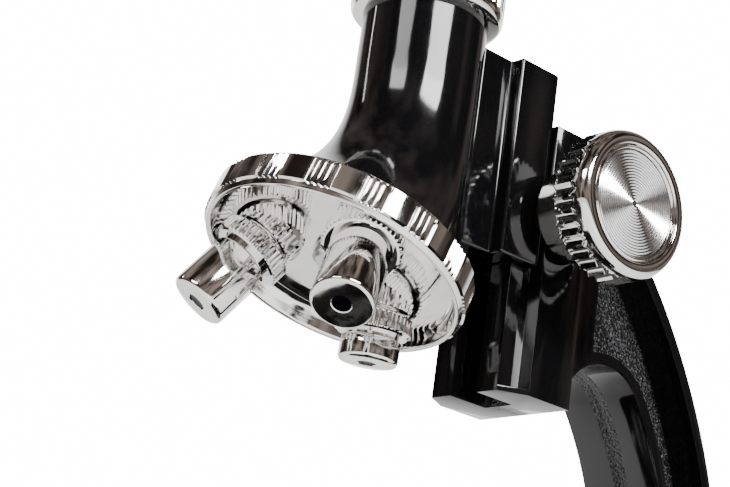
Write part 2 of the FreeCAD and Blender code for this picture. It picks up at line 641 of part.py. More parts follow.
def rack():
    """A brass rack on the back of the tongue, with a gap level with the pinion."""
    module = value("Sizes.gear_module")
    pitch = math.pi * module
    line, back = value("Places.pitch_line"), value("Places.rack_back")
    tip = line + ADDENDUM * module
    slope = math.tan(math.radians(PRESSURE_ANGLE))
    half = pitch / 4 - BACKLASH
    front, low = value("Places.rack_front"), value("Sizes.carriage_bottom")
    high = low + value("Sizes.carriage_height")
    axis = value("Sizes.pinion_height")
    corners = [(front, high), (front, low), (back, low)]
    first = math.ceil((low - axis) / pitch) + 0.5
    count = int((high - axis) / pitch - first)
    for number in range(count + 1):
        middle = axis + (first + number) * pitch
        wide = half + (line - back) * slope
        narrow = half - (tip - line) * slope
        if middle - wide < low or middle + wide > high:
            continue
        corners += [(back, middle - wide), (tip, middle - narrow),
                    (tip, middle + narrow), (back, middle + wide)]
    corners.append((back, high))
    side = -value("Sizes.rack_width") / 2
    loop = [FreeCAD.Vector(side, y, z) for y, z in corners + corners[:1]]
    profile = Part.Face(Part.makePolygon(loop))
    piece = doc.addObject("Part::Feature", "rack_shape")
    piece.Shape = profile.extrude(FreeCAD.Vector(value("Sizes.rack_width"), 0, 0))
    return piece


def gear():
    """The pinion's involute teeth, one of them pointing forward into the rack."""
    module, teeth = value("Sizes.gear_module"), int(value("Sizes.gear_teeth"))
    pitch_radius = value("Places.pitch_radius")
    base = pitch_radius * math.cos(math.radians(PRESSURE_ANGLE))
    tip, root = pitch_radius + ADDENDUM * module, pitch_radius - DEDENDUM * module

    def involute(radius):
        lean = math.acos(min(base / radius, 1.0))
        return math.tan(lean) - lean

    half_at_pitch = (math.pi * module / 4 - BACKLASH) / pitch_radius
    flank_radii = [max(base, root) + (tip - max(base, root)) * step / 5 for step in range(6)]
    flank = [(root, half_at_pitch + involute(pitch_radius))]
    flank += [(r, half_at_pitch + involute(pitch_radius) - involute(r)) for r in flank_radii]
    points = []
    for number in range(teeth):
        middle = math.pi + number * 2 * math.pi / teeth
        points += [(r, middle - half) for r, half in flank]
        points += [(r, middle + half) for r, half in reversed(flank)]
    side = -value("Sizes.gear_width") / 2
    loop = [FreeCAD.Vector(side, r * math.cos(a), r * math.sin(a)) for r, a in points]
    face = Part.Face(Part.makePolygon(loop + loop[:1]))
    blank = face.extrude(FreeCAD.Vector(value("Sizes.gear_width"), 0, 0))
    bore = Part.makeCylinder(value("Sizes.shaft_radius"), value("Sizes.gear_width"),
                             FreeCAD.Vector(side, 0, 0), FreeCAD.Vector(1, 0, 0))
    piece = doc.addObject("Part::Feature", "gear_shape")
    piece.Shape = blank.cut(bore)
    piece.Placement.Base = FreeCAD.Vector(
        0, value("Places.pinion_y"), value("Sizes.pinion_height"))
    return piece


node(rack(), "focus_rack")
node(gear(), "pinion_gear")
node(cylinder("shaft_rod", "Sizes.shaft_radius", "2 * (Places.knob_start + 4)",
              "-(Places.knob_start + 4)", "Places.pinion_y", "Sizes.pinion_height", "x"),
     "pinion_shaft")

for side, sign in (("right", 1), ("left", -1)):
    turn_out = FreeCAD.Rotation(FreeCAD.Vector(0, 1, 0), 90 * sign)
    knob = turned(f"knob_{side}", [
        ("Sizes.shaft_radius", "Places.hub_start"),
        ("Sizes.hub_radius - 0.6", "Places.hub_start"),
        ("Sizes.hub_radius", "Places.hub_start + 0.6"),
        ("Sizes.hub_radius", "Places.knob_start"),
        ("Sizes.knob_radius - 0.6", "Places.knob_start"),
        ("Sizes.knob_radius", "Places.knob_start + 0.6"),
        ("Sizes.knob_radius", "Places.knob_start + Sizes.knob_rim"),
        ("Sizes.knob_face_radius", "Places.knob_face"),
        ("Sizes.knob_recess_radius", "Places.knob_face"),
        ("Sizes.knob_recess_radius", "Places.knob_face - Sizes.knob_recess_depth"),
        ("0", "Places.knob_face - Sizes.knob_recess_depth"),
        ("0", "Places.knob_start + 4"),
        ("Sizes.shaft_radius", "Places.knob_start + 4"),
    ])
    knob.Placement.Rotation = turn_out
    put(knob, "0", "Places.pinion_y", "Sizes.pinion_height")
    node(knob, f"focus_knob_{side}")
    disc = turned(f"spun_disc_{side}", [
        ("0", "Places.knob_face - Sizes.knob_recess_depth"),
        ("Sizes.knob_recess_radius - 0.1", "Places.knob_face - Sizes.knob_recess_depth"),
        ("Sizes.knob_recess_radius - 0.1", "Places.knob_face - 0.4"),
        ("0", "Places.knob_face - 0.4"),
    ])
    disc.Placement.Rotation = turn_out
    put(disc, "0", "Places.pinion_y", "Sizes.pinion_height")
    node(disc, f"knob_disc_{side}")


# ---- turret and its three objectives ----

OBJECTIVES = (("short", 0, "Sizes.short_length"), ("middle", -120, "Sizes.middle_length"),
              ("long", 120, "Sizes.long_length"))


def objective_placement(turn):
    """An objective's own frame: Z runs up its axis to the point where all three meet."""
    return turret_placement(turn + value("Sizes.turret_turn"), value("Sizes.turret_tilt"),
                            value("Places.apex_distance"))


def turret_disc():
    plate = turned("turret_plate", [
        ("Sizes.pivot_radius", "Sizes.recess_depth"),
        ("Sizes.recess_radius - 1.2", "Sizes.recess_depth"),
        ("Sizes.recess_radius", "0"),
        ("Sizes.turret_radius - 0.4", "0"), ("Sizes.turret_radius", "0.5"),
        ("Sizes.turret_radius", "Sizes.turret_depth - 0.4"),
        ("Sizes.turret_radius - 0.4", "Sizes.turret_depth"),
        ("Sizes.pivot_radius", "Sizes.turret_depth"),
    ])
    plate.Placement = turret_placement()
    sockets, bores = [], []
    for name, turn, _ in OBJECTIVES:
        place = objective_placement(turn)
        low = -value("Places.floor_distance + Sizes.socket_length")
        socket = doc.addObject("Part::Cylinder", f"socket_{name}")
        bind(socket, {"Radius": "Sizes.socket_radius", "Height": "Sizes.socket_length + 0.6"})
        socket.Placement = FreeCAD.Placement(
            place.multVec(FreeCAD.Vector(0, 0, low)), place.Rotation)
        sockets.append(socket)
        bore = doc.addObject("Part::Cylinder", f"socket_bore_{name}")
        bind(bore, {"Radius": "Sizes.stub_radius", "Height": "14"})
        bore.Placement = FreeCAD.Placement(
            place.multVec(FreeCAD.Vector(0, 0, low - 1)), place.Rotation)
        bores.append(bore)
    return cut("turret_bored", fuse("turret_whole", [plate] + sockets), bores)


node(turret_disc(), "turret_disc")

for name, turn, length in OBJECTIVES:
    place = objective_placement(turn)
    stub_top = "-(Places.stub_distance)"
    collar = "-(Places.floor_distance + Sizes.socket_length)"
    grip_back = "-(Places.floor_distance + Sizes.grip_start)"
    grip_front = "-(Places.floor_distance + Sizes.grip_start + Sizes.grip_length)"
    barrel = turned(f"{name}_barrel_turned", [
        ("Sizes.barrel_bore - 1", stub_top), ("Sizes.stub_radius", stub_top),
        ("Sizes.stub_radius", collar), ("Sizes.neck_radius", collar),
        ("Sizes.neck_radius", f"{grip_front} - 0.9"),
        ("Sizes.barrel_radius", f"{grip_front} - 0.9"),
        ("Sizes.barrel_radius", f"-({length}) + 0.7"),
        ("Sizes.barrel_radius - 0.7", f"-({length})"),
        ("Sizes.aperture_radius", f"-({length})"),
        ("Sizes.aperture_radius", f"-({length}) + Sizes.barrel_front_wall"),
        ("Sizes.barrel_bore", f"-({length}) + Sizes.barrel_front_wall"),
        ("Sizes.barrel_bore", f"{collar}"), ("Sizes.barrel_bore - 1", f"{collar} + 1"),
    ])
    barrel.Placement = place
    node(barrel, f"objective_{name}_barrel")
    grip = turned(f"{name}_grip_turned", [
        ("Sizes.neck_radius", grip_back), ("Sizes.grip_radius - 0.4", grip_back),
        ("Sizes.grip_radius", f"{grip_back} - 0.4"), ("Sizes.grip_radius", f"{grip_front} + 0.4"),
        ("Sizes.grip_radius - 0.4", grip_front), ("Sizes.neck_radius", grip_front),
    ])
    grip.Placement = place
    node(grip, f"objective_{name}_grip")
    lens_front = f"-({length}) + Sizes.barrel_front_wall"
    lens = turned(f"{name}_lens_turned", [
        ("0", lens_front), ("Sizes.lens_radius", lens_front),
        ("Sizes.lens_radius", f"{lens_front} + Sizes.lens_thickness - 0.4"),
        ("0", f"{lens_front} + Sizes.lens_thickness"),
    ])
    lens.Placement = place
    node(lens, f"objective_{name}_lens")


# ---- draw tube and eyepiece ----

draw_bottom = "Sizes.tube_top - Sizes.draw_inside"
draw_inner = "Places.draw_radius - Sizes.draw_wall"
node(turned("draw_turned", [
    (draw_inner, draw_bottom), ("Places.draw_radius", draw_bottom),
    ("Places.draw_radius", "Places.draw_top"), (draw_inner, "Places.draw_top"),
]), "draw_tube")
node(turned("field_lens_turned", [
    ("0", f"{draw_bottom} + 0.5"), (draw_inner, f"{draw_bottom} + 1.5"),
    (draw_inner, f"{draw_bottom} + 3"), ("0", f"{draw_bottom} + 4"),
]), "field_lens")

head = "Sizes.eyepiece_radius"
lens_seat = "Places.eyepiece_top - 5"
node(turned("eyepiece_turned", [
    (draw_inner, "Places.draw_top"), (f"{head} - 0.8", "Places.draw_top"),
    (head, "Places.draw_top + 0.8"), (head, "Places.eyepiece_top - 1.2"),
    (f"{head} - 1.2", "Places.eyepiece_top"), ("Sizes.eye_lens_radius + 0.5", "Places.eyepiece_top"),
    ("Sizes.eye_lens_radius + 0.5", f"{lens_seat} + 3"),
    ("Sizes.eye_lens_radius + 2", f"{lens_seat} + 3"),
    ("Sizes.eye_lens_radius + 2", "Places.draw_top + 3"), (draw_inner, "Places.draw_top + 2"),
]), "eyepiece_barrel")
node(turned("eye_lens_turned", [
    ("0", f"{lens_seat} - 0.6"), ("Sizes.eye_lens_radius + 2", f"{lens_seat} + 0.6"),
    ("Sizes.eye_lens_radius + 2", f"{lens_seat} + 2.4"), ("0", f"{lens_seat} + 3.4"),
]), "eye_lens")
cup_top = "Places.eyepiece_top + Sizes.cup_length"
node(turned("cup_turned", [
    ("Sizes.eye_lens_radius + 0.5", "Places.eyepiece_top"),
    (f"{head} - 1.4", "Places.eyepiece_top"),
    ("Sizes.cup_radius", f"Places.eyepiece_top + 3.5"), ("Sizes.cup_radius", f"{cup_top} - 1"),
    ("Sizes.cup_radius - 1", cup_top), ("Sizes.cup_radius - 2.2", f"{cup_top} - 0.6"),
]), "eye_cup")


# ---- stage, clips and diaphragm disc ----

def inside_bow(name, piece):
    """Trim a bracket so that its foot beds against the inside of the arm's bow."""
    reach = "2 * Sizes.stage_half_width"
    gauge = cylinder(name + "_bow_gauge", "Sizes.bow_inner_radius", reach,
                     "-Sizes.stage_half_width", "Sizes.bow_forward", "Places.bow_height", "x")
    return common(name + "_trimmed", piece, gauge)


def foot_screws(name, seat, spacing, height):
    """Two screws that pass forward through the arm's inner flange into a foot."""
    parts = []
    for side in ("-1", "1"):
        parts += screw(f"{name}_{side.replace('-', 'm')}", "Sizes.arm_screw_radius - 0.05",
                       "11", "1.6 * Sizes.arm_screw_radius", "1.5",
                       f"{side} * {spacing}", seat, height, "y")
    return parts


def foot_pilots(name, seat, spacing, height):
    return [cylinder(f"{name}_pilot_{number}", "Sizes.arm_screw_radius - 0.05", "14",
                     f"{side} * {spacing}", f"{seat} - 11", height, "y")
            for number, side in enumerate(("-1", "1"))]


def stage():
    plate = padded("stage_slab", "XY_Plane", rounded(
        "Sizes.stage_half_width", "Sizes.stage_front", "Sizes.stage_rear",
        "Sizes.stage_corner"), "Sizes.stage_thickness")
    put(plate, "0", "0", "Places.stage_under")
    bracket = block("stage_bracket", "-Sizes.bracket_half_width", "Sizes.stage_rear - 10",
                    "Places.stage_under - Sizes.bracket_depth", "2 * Sizes.bracket_half_width",
                    "60", "Sizes.bracket_depth + Sizes.stage_thickness")
    tools = [cylinder("stage_aperture", "Sizes.stage_hole_radius", "Sizes.stage_thickness",
                      "0", "0", "Places.stage_under"),
             cylinder("rivet_hole", "Sizes.rivet_radius", "2", "0", "Sizes.disc_rivet_y",
                      "Places.stage_under")]
    for name, x in (("left", "-Sizes.clip_pin_x"), ("right", "Sizes.clip_pin_x")):
        tools.append(cylinder(f"clip_hole_{name}", "Sizes.rivet_radius",
                              "Sizes.stage_thickness", x, "Sizes.clip_pin_y",
                              "Places.stage_under"))
    tools += foot_pilots("stage", "Places.stage_seat", "Sizes.stage_screw_spacing",
                         "Places.stage_screw_z")
    whole = inside_bow("stage", fuse("stage_whole", [plate, bracket]))
    return cut("stage_drilled", whole, tools)


node(stage(), "stage_plate")
node(fuse("stage_screw_pair", foot_screws(
    "stage_screw", "Places.stage_seat", "Sizes.stage_screw_spacing",
    "Places.stage_screw_z")), "stage_screws")

clip_low = "Sizes.stage_top + Sizes.flat_gap"
clip_top = f"({clip_low} + Sizes.clip_thickness)"
pins = []
for side, sign in (("right", 1), ("left", -1)):
    x = f"{sign} * Sizes.clip_pin_x"
    pins.append(cylinder(f"clip_pin_{side}", "Sizes.rivet_radius",
                         f"{clip_top} + Sizes.flat_gap - Places.stage_under", x,
                         "Sizes.clip_pin_y", "Places.stage_under"))
    pins.append(cylinder(f"clip_head_{side}", "2 * Sizes.rivet_radius", "1.4", x,
                         "Sizes.clip_pin_y", f"{clip_top} + Sizes.flat_gap"))
    strip = padded(f"clip_strip_{side}", "XY_Plane", [
        ("-Sizes.clip_width / 2", "0"), ("-Sizes.clip_width / 2", "-Sizes.clip_reach + 2"),
        ("Sizes.clip_width / 2 - 1.2", "-Sizes.clip_reach"),
        ("Sizes.clip_width / 2", "-Sizes.clip_reach + 2"), ("Sizes.clip_width / 2", "0"),
    ], "Sizes.clip_thickness")
    boss = cylinder(f"clip_boss_{side}", "Sizes.clip_boss_radius", "Sizes.clip_thickness")
    curl = cylinder(f"clip_curl_{side}", "0.7", "Sizes.clip_width - 1.6",
                    "-Sizes.clip_width / 2 + 0.4", "-Sizes.clip_reach + 2.4", "0.7", "x")
    hole = cylinder(f"clip_eye_{side}", "Sizes.rivet_radius + Sizes.running_gap",
                    "Sizes.clip_thickness")
    clip = cut(f"clip_{side}", fuse(f"clip_solid_{side}", [strip, boss, curl]), [hole])
    clip.Placement.Rotation = FreeCAD.Rotation(FreeCAD.Vector(0, 0, 1), -24 * sign)
    put(clip, x, "Sizes.clip_pin_y", clip_low)
    node(clip, f"stage_clip_{side}")
node(fuse("clip_pin_pair", pins), "clip_pins")

disc_top = "Places.stage_under - 2 * Sizes.flat_gap"
disc_low = f"({disc_top} - Sizes.disc_thickness)"
disc_reach = "Sizes.disc_rivet_y"
openings = []
STOP_RADII = (5.0, 4.0, 3.0, 2.0, 1.2)
for number, radius in enumerate(STOP_RADII):
    angle = 90 + number * 360 / len(STOP_RADII)
    openings.append(cylinder(
        f"stop_{number}", str(radius), "Sizes.disc_thickness",
        f"-{disc_reach} * cos({angle} deg)",
        f"Sizes.disc_rivet_y - {disc_reach} * sin({angle} deg)", disc_low))
openings.append(cylinder("disc_eye", "Sizes.rivet_radius + Sizes.running_gap",
                         "Sizes.disc_thickness", "0", "Sizes.disc_rivet_y", disc_low))
node(cut("disc_drilled", cylinder("disc_blank", "Sizes.disc_radius", "Sizes.disc_thickness",
                                  "0", "Sizes.disc_rivet_y", disc_low), openings),
     "diaphragm_disc")
rivet_low = f"{disc_low} - Sizes.flat_gap"
node(fuse("rivet_whole", [
    cylinder("rivet_shank", "Sizes.rivet_radius", f"Places.stage_under + 2 - ({rivet_low})",
             "0", "Sizes.disc_rivet_y", rivet_low),
    cylinder("rivet_head", "Sizes.rivet_head_radius", "1.2", "0", "Sizes.disc_rivet_y",
             f"{rivet_low} - 1.2")]), "diaphragm_rivet")


# ---- mirror on its tail bracket ----

def tail_bracket():
    """A bent bar from the arm's bow to under the stage, trimmed to the bow."""
    low = "Sizes.tail_top - Sizes.tail_thickness"
    foot_top = "Places.tail_foot + Sizes.tail_foot_height"
    bar = padded("tail_bar", "YZ_Plane", [
        ("-Sizes.tail_nose", low), ("Sizes.tail_bend", low),
        ("Sizes.tail_bend + 22", "Places.tail_foot"), ("Sizes.tail_bend + 60", "Places.tail_foot"),
        ("Sizes.tail_bend + 60", foot_top), ("Sizes.tail_bend + 25", foot_top),
        ("Sizes.tail_bend + 23", "Places.tail_foot + 5"),
        ("Sizes.tail_bend - 2", "Sizes.tail_top"), ("-Sizes.tail_nose", "Sizes.tail_top"),
    ], "2 * Sizes.tail_half_width", both_ways=True)
    tools = [cylinder("swivel_hole", "Sizes.fork_pin_radius + Sizes.running_gap",
                      "Sizes.tail_thickness", "0", "0", low)]
    tools += foot_pilots("tail", "Places.tail_seat", "Sizes.tail_screw_spacing",
                         "Places.tail_screw_z")
    return cut("tail_drilled", inside_bow("tail", bar), tools)


node(tail_bracket(), "mirror_bracket")
node(fuse("tail_screw_pair", foot_screws(
    "tail_screw", "Places.tail_seat", "Sizes.tail_screw_spacing",
    "Places.tail_screw_z")), "bracket_screws")

fork_low = "Sizes.tail_top + Sizes.flat_gap"
fork_inside = "(Sizes.mirror_radius + Sizes.fork_gap)"
fork_tall = "Sizes.mirror_height + Sizes.fork_arm_width / 2"
fork_parts = [
    block("fork_bar", f"-{fork_inside} - Sizes.fork_thickness", "-Sizes.fork_arm_width / 2",
          fork_low, f"2 * ({fork_inside} + Sizes.fork_thickness)", "Sizes.fork_arm_width",
          "Sizes.fork_thickness"),
    cylinder("fork_pin", "Sizes.fork_pin_radius", "Sizes.tail_thickness + 2 * Sizes.flat_gap",
             "0", "0", f"{fork_low} - Sizes.tail_thickness - 2 * Sizes.flat_gap"),
    cylinder("fork_pin_head", "Sizes.fork_pin_radius + 1.4", "1.4", "0", "0",
             f"{fork_low} - Sizes.tail_thickness - 2 * Sizes.flat_gap - 1.4"),
]
fork_holes = []
for side, x in (("right", fork_inside), ("left", f"-{fork_inside} - Sizes.fork_thickness")):
    fork_parts.append(block(
        f"fork_arm_{side}", x, "-Sizes.fork_arm_width / 2", fork_low, "Sizes.fork_thickness",
        "Sizes.fork_arm_width", f"{fork_tall} - Sizes.fork_arm_width / 2 - ({fork_low})"))
    fork_parts.append(cylinder(
        f"fork_eye_{side}", "Sizes.fork_arm_width / 2", "Sizes.fork_thickness", x, "0",
        "Sizes.mirror_height", "x"))
    fork_holes.append(cylinder(
        f"fork_hole_{side}", "Sizes.mirror_pin_radius + Sizes.running_gap",
        "Sizes.fork_thickness", x, "0", "Sizes.mirror_height", "x"))
node(cut("fork_drilled", fuse("fork_whole", fork_parts), fork_holes), "mirror_fork")

half = "Sizes.mirror_depth / 2"
cup_floor = f"{half} - 1.4"
cup = turned("mirror_cup_turned", [
    ("0", f"-({half})"), ("Sizes.mirror_radius - 1.5", f"-({half})"),
    ("Sizes.mirror_radius", f"-({half}) + 1.5"), ("Sizes.mirror_radius", half),
    ("Sizes.mirror_radius - Sizes.mirror_rim", half),
    ("Sizes.mirror_radius - Sizes.mirror_rim", cup_floor), ("0", cup_floor),
])
pin_long = "Sizes.fork_gap + Sizes.fork_thickness + 1.5"
mirror_pins = [cylinder("mirror_pin_right", "Sizes.mirror_pin_radius", pin_long,
                        "Sizes.mirror_radius - 1", along="x"),
               cylinder("mirror_pin_left", "Sizes.mirror_pin_radius", pin_long,
                        f"-Sizes.mirror_radius + 1 - ({pin_long})", along="x")]
holder = fuse("mirror_holder_whole", [cup] + mirror_pins)
glass = turned("mirror_glass_turned", [
    ("0", cup_floor), ("Sizes.mirror_radius - Sizes.mirror_rim - 0.1", cup_floor),
    ("Sizes.mirror_radius - Sizes.mirror_rim - 0.1", f"{half} - 0.4"), ("0", f"{half} - 0.4"),
])
for piece in (holder, glass):
    piece.Placement.Rotation = tilted(value("Sizes.mirror_lean"))
    put(piece, "0", "0", "Sizes.mirror_height")
node(holder, "mirror_holder")
node(glass, "mirror_glass")


# ---- base, its weight and the tilt joint ----

base_low = "Sizes.pad_height"
SCREW_SPOTS = (("-30", "-20"), ("30", "-20"), ("-30", "52"), ("30", "52"))


def base_outline(inset):
    return rounded(f"Sizes.base_half_width - {inset}", f"Sizes.base_front + {inset}",
                   f"Sizes.base_rear - {inset}", f"(Sizes.base_corner - {inset})")


def base_shell():
    outside = padded("base_outside", "XY_Plane", base_outline("0"),
                     f"Sizes.base_top - {base_low}")
    put(outside, "0", "0", base_low)
    hollow = padded("base_hollow", "XY_Plane", base_outline("Sizes.base_wall"),
                    f"Sizes.base_top - {base_low} - Sizes.base_wall")
    put(hollow, "0", "0", base_low)
    shell = cut("base_shell_only", outside, [hollow])
    added, holes = [shell], []
    for number, (x, y) in enumerate(SCREW_SPOTS):
        floor = f"{base_low} + Sizes.cover_thickness"
        added.append(cylinder(f"base_boss_{number}", "3.6",
                              f"Sizes.base_top - ({floor}) - 1", x, y, floor))
        holes.append(cylinder(f"base_pilot_{number}", "1.4", "9", x, y, floor))
    for side, x in (("right", "Places.lug_inside"), ("left", "-Places.lug_outside")):
        added.append(block(f"lug_{side}", x, "Places.hinge_y - Sizes.lug_radius",
                           "Sizes.base_top - 1", "Sizes.lug_thickness",
                           "2 * Sizes.lug_radius", "Places.hinge_z - Sizes.base_top + 1"))
        added.append(cylinder(f"lug_eye_{side}", "Sizes.lug_radius", "Sizes.lug_thickness",
                              x, "Places.hinge_y", "Places.hinge_z", "x"))
        holes.append(cylinder(f"lug_hole_{side}", "Sizes.bolt_radius", "Sizes.lug_thickness",
                              x, "Places.hinge_y", "Places.hinge_z", "x"))
    return cut("base_shell_bored", fuse("base_shell_whole", added), holes)


node(base_shell(), "base_shell")
cover = padded("cover_plate", "XY_Plane", base_outline("(Sizes.base_wall + Sizes.flat_gap)"),
               "Sizes.cover_thickness")
put(cover, "0", "0", base_low)
cover_holes, cover_screws = [], []
for number, (x, y) in enumerate(SCREW_SPOTS):
    cover_holes.append(cylinder(f"cover_hole_{number}", "1.4", "4", x, y, base_low))
    cover_holes.append(cylinder(f"cover_sink_{number}", "2.9", "1.2", x, y, base_low))
    cover_screws.append(cylinder(f"cover_screw_{number}", "1.4", "9", x, y, base_low + " + 0.2"))
    cover_screws.append(cylinder(f"cover_screw_head_{number}", "2.8", "1", x, y,
                                 base_low + " + 0.2"))
node(cut("cover_drilled", cover, cover_holes), "base_cover")
node(fuse("cover_screw_set", cover_screws), "base_screws")
node(cut("pad_ring", padded("pad_outside", "XY_Plane", base_outline("Sizes.pad_inset"),
                            "Sizes.pad_height"),
         [padded("pad_inside", "XY_Plane",
                 base_outline("(Sizes.pad_inset + Sizes.pad_width)"), "Sizes.pad_height")]),
     "rubber_ring")
node(block("weight_slab", "-22", "Sizes.base_front + 24",
           f"{base_low} + Sizes.cover_thickness + Sizes.flat_gap", "44", "84",
           "Sizes.weight_thickness"), "base_weight")

bolt_end = "(Places.lug_outside + Sizes.washer_thickness)"
node(fuse("bolt_whole", [
    cylinder("bolt_shank", "Sizes.bolt_radius", f"2 * {bolt_end} + 4", f"-{bolt_end} - 4",
             "Places.hinge_y", "Places.hinge_z", "x"),
    cylinder("bolt_head", "Sizes.bolt_head_radius", "Sizes.bolt_head_length", bolt_end,
             "Places.hinge_y", "Places.hinge_z", "x")]), "tilt_bolt")
node(cut("nut_bored", cylinder(
    "nut_blank", "Sizes.bolt_head_radius", "5", f"-{bolt_end} - 5", "Places.hinge_y",
    "Places.hinge_z", "x"), [cylinder("nut_thread", "Sizes.bolt_radius", "4",
                                      f"-{bolt_end} - 4", "Places.hinge_y",
                                      "Places.hinge_z", "x")]), "tilt_nut")
washers = []
for side, x in (("right", "Places.lug_outside"),
                ("left", "-Places.lug_outside - Sizes.washer_thickness")):
    plate = cylinder(f"washer_{side}", "Sizes.bolt_head_radius - 0.8",
                     "Sizes.washer_thickness", x, "Places.hinge_y", "Places.hinge_z", "x")
    eye = cylinder(f"washer_eye_{side}", "Sizes.bolt_radius", "Sizes.washer_thickness",
                   x, "Places.hinge_y", "Places.hinge_z", "x")
    washers.append(cut(f"washer_cut_{side}", plate, [eye]))
node(fuse("washer_pair", washers), "tilt_washers")


# ---- check and write every sub-part ----

doc.recompute()
failed = [piece.Name for piece in doc.Objects
          if "Invalid" in piece.State or "Error" in piece.State]
if failed:
    raise SystemExit("failed objects: " + ", ".join(failed))
os.makedirs("parts", exist_ok=True)
for piece in nodes:
    if piece.Shape.isNull() or not piece.Shape.isValid() or not piece.Shape.Solids:
        raise SystemExit("no valid solid in " + piece.Label)
    piece.Shape.exportStep(f"parts/{piece.Label}.step")
    print(f"{piece.Label}: {piece.Shape.Volume:.0f} mm3")
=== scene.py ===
import math

import bpy
from mathutils import Matrix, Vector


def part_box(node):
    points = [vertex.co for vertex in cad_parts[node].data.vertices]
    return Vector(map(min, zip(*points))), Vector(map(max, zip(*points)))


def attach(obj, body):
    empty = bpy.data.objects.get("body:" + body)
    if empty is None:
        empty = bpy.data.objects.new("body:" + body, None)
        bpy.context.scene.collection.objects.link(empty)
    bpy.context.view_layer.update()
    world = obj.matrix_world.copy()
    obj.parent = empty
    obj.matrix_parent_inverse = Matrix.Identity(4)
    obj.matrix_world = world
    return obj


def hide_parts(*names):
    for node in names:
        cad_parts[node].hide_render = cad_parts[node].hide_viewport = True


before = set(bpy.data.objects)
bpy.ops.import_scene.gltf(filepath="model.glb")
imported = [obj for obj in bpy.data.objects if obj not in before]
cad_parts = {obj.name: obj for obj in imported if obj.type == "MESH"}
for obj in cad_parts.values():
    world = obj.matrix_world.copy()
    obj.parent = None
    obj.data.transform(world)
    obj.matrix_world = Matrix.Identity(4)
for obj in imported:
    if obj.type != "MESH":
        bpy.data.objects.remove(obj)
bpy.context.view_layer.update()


# ---- Body tube: hood, tube, neck and carriage ----
# The main black moulding: a round tube that flares into a tilted hood over the turret, with a
# neck behind it that ends in the carriage. Glossy ABS, moulded in one and polished.

MM = 0.001


class Wiring:
    """A tree of nodes, and the only way that nodes are added to it."""

    def __init__(self, owner):
        owner.use_nodes = True
        self.tree = owner.node_tree

    def node(self, kind, settings, inputs, output=0):
        """Add a node: its settings first, then the values or links of its sockets."""
        made = self.tree.nodes.new(kind)
        for name, setting in settings.items():
            if name == "stops":
                for stop, (position, colour) in zip(made.color_ramp.elements, setting):
                    stop.position, stop.color = position, (*colour, 1)
            else:
                setattr(made, name, setting)
        for name, given in inputs.items():
            self.feed(made.inputs[name], given)
        return Field(self, made.outputs[output])

    def feed(self, socket, given):
        """Link a field to a socket, or set a value or a colour on it."""
        if isinstance(given, Field):
            self.tree.links.new(given.socket, socket)
        else:
            socket.default_value = (*given, 1) if socket.type == "RGBA" else given

    def place(self, kind="Object"):
        return self.node("ShaderNodeTexCoord", {}, {}, kind)

    def cloud(self, scale, detail=3.0, where=None):
        """Soft noise from 0 to 1, its scale in lumps per metre."""
        return self.node("ShaderNodeTexNoise", {}, {
            "Vector": where or self.place(), "Scale": scale, "Detail": detail}, "Fac")

    def between(self, share, first, second):
        """A colour mixed from two by a share."""
        return self.node("ShaderNodeMix", {"data_type": "RGBA"},
                         {0: share, 6: first, 7: second}, 2)


class Finish(Wiring):
    """One material, with constants on its shader's own sockets."""

    def __init__(self, name, **constants):
        self.material = bpy.data.materials.new(name)
        super().__init__(self.material)
        self.shader = self.tree.nodes["Principled BSDF"]
        for socket, constant in constants.items():
            self.vary(socket.replace("_", " "), constant)

    def vary(self, socket, given):
        self.feed(self.shader.inputs[socket], given)

    def relief(self, height, depth, strength=1.0):
        """Small relief on the surface, its depth in millimetres."""
        self.vary("Normal", self.node("ShaderNodeBump", {}, {
            "Height": height, "Distance": depth * MM, "Strength": strength}))


class Field:
    """A number or colour that varies over a surface. Sums on it add Math nodes."""

    def __init__(self, wiring, socket):
        self.wiring, self.socket = wiring, socket

    def maths(self, operation, first, second=0.0):
        return self.wiring.node("ShaderNodeMath", {"operation": operation},
                                {0: first, 1: second})

    def __add__(self, other): return self.maths("ADD", self, other)
    def __radd__(self, other): return self.maths("ADD", other, self)
    def __sub__(self, other): return self.maths("SUBTRACT", self, other)
    def __rsub__(self, other): return self.maths("SUBTRACT", other, self)
    def __mul__(self, other): return self.maths("MULTIPLY", self, other)
    def __rmul__(self, other): return self.maths("MULTIPLY", other, self)
    def __abs__(self): return self.maths("ABSOLUTE", self)
    def __lt__(self, other): return self.maths("LESS_THAN", self, other)
    def __gt__(self, other): return self.maths("GREATER_THAN", self, other)
    def __pow__(self, other): return self.maths("POWER", self, other)


def gloss_black(name):
    """Polished black ABS: nearly black, with faint handling marks and a slight orange peel."""
    black = Finish(name, Specular_IOR_Level=0.5, IOR=1.5)
    marks = black.cloud(140, 4.0) ** 2
    dust = black.cloud(5200, 1.0) > 0.73
    black.vary("Base Color", black.between(dust * 0.3, (0.0025, 0.0025, 0.003),
                                           (0.05, 0.05, 0.055)))
    black.vary("Roughness", 0.05 + marks * 0.13 + dust * 0.12)
    black.relief(black.cloud(260, 1.0), 0.012)
    return black


def let_go():
    """Leave edit mode with nothing selected."""
    if bpy.context.object and bpy.context.object.mode == "EDIT":
        bpy.ops.object.mode_set(mode="OBJECT")
    bpy.ops.object.select_all(action="DESELECT")


def take(piece):
    let_go()
    piece.select_set(True)
    bpy.context.view_layer.objects.active = piece


def settle(piece, placement=None):
    """Put a piece in its place and keep the place in its mesh."""
    take(piece)
    if placement is not None:
        piece.matrix_world = placement @ piece.matrix_world
    bpy.ops.object.transform_apply(location=True, rotation=True, scale=True)
    return piece


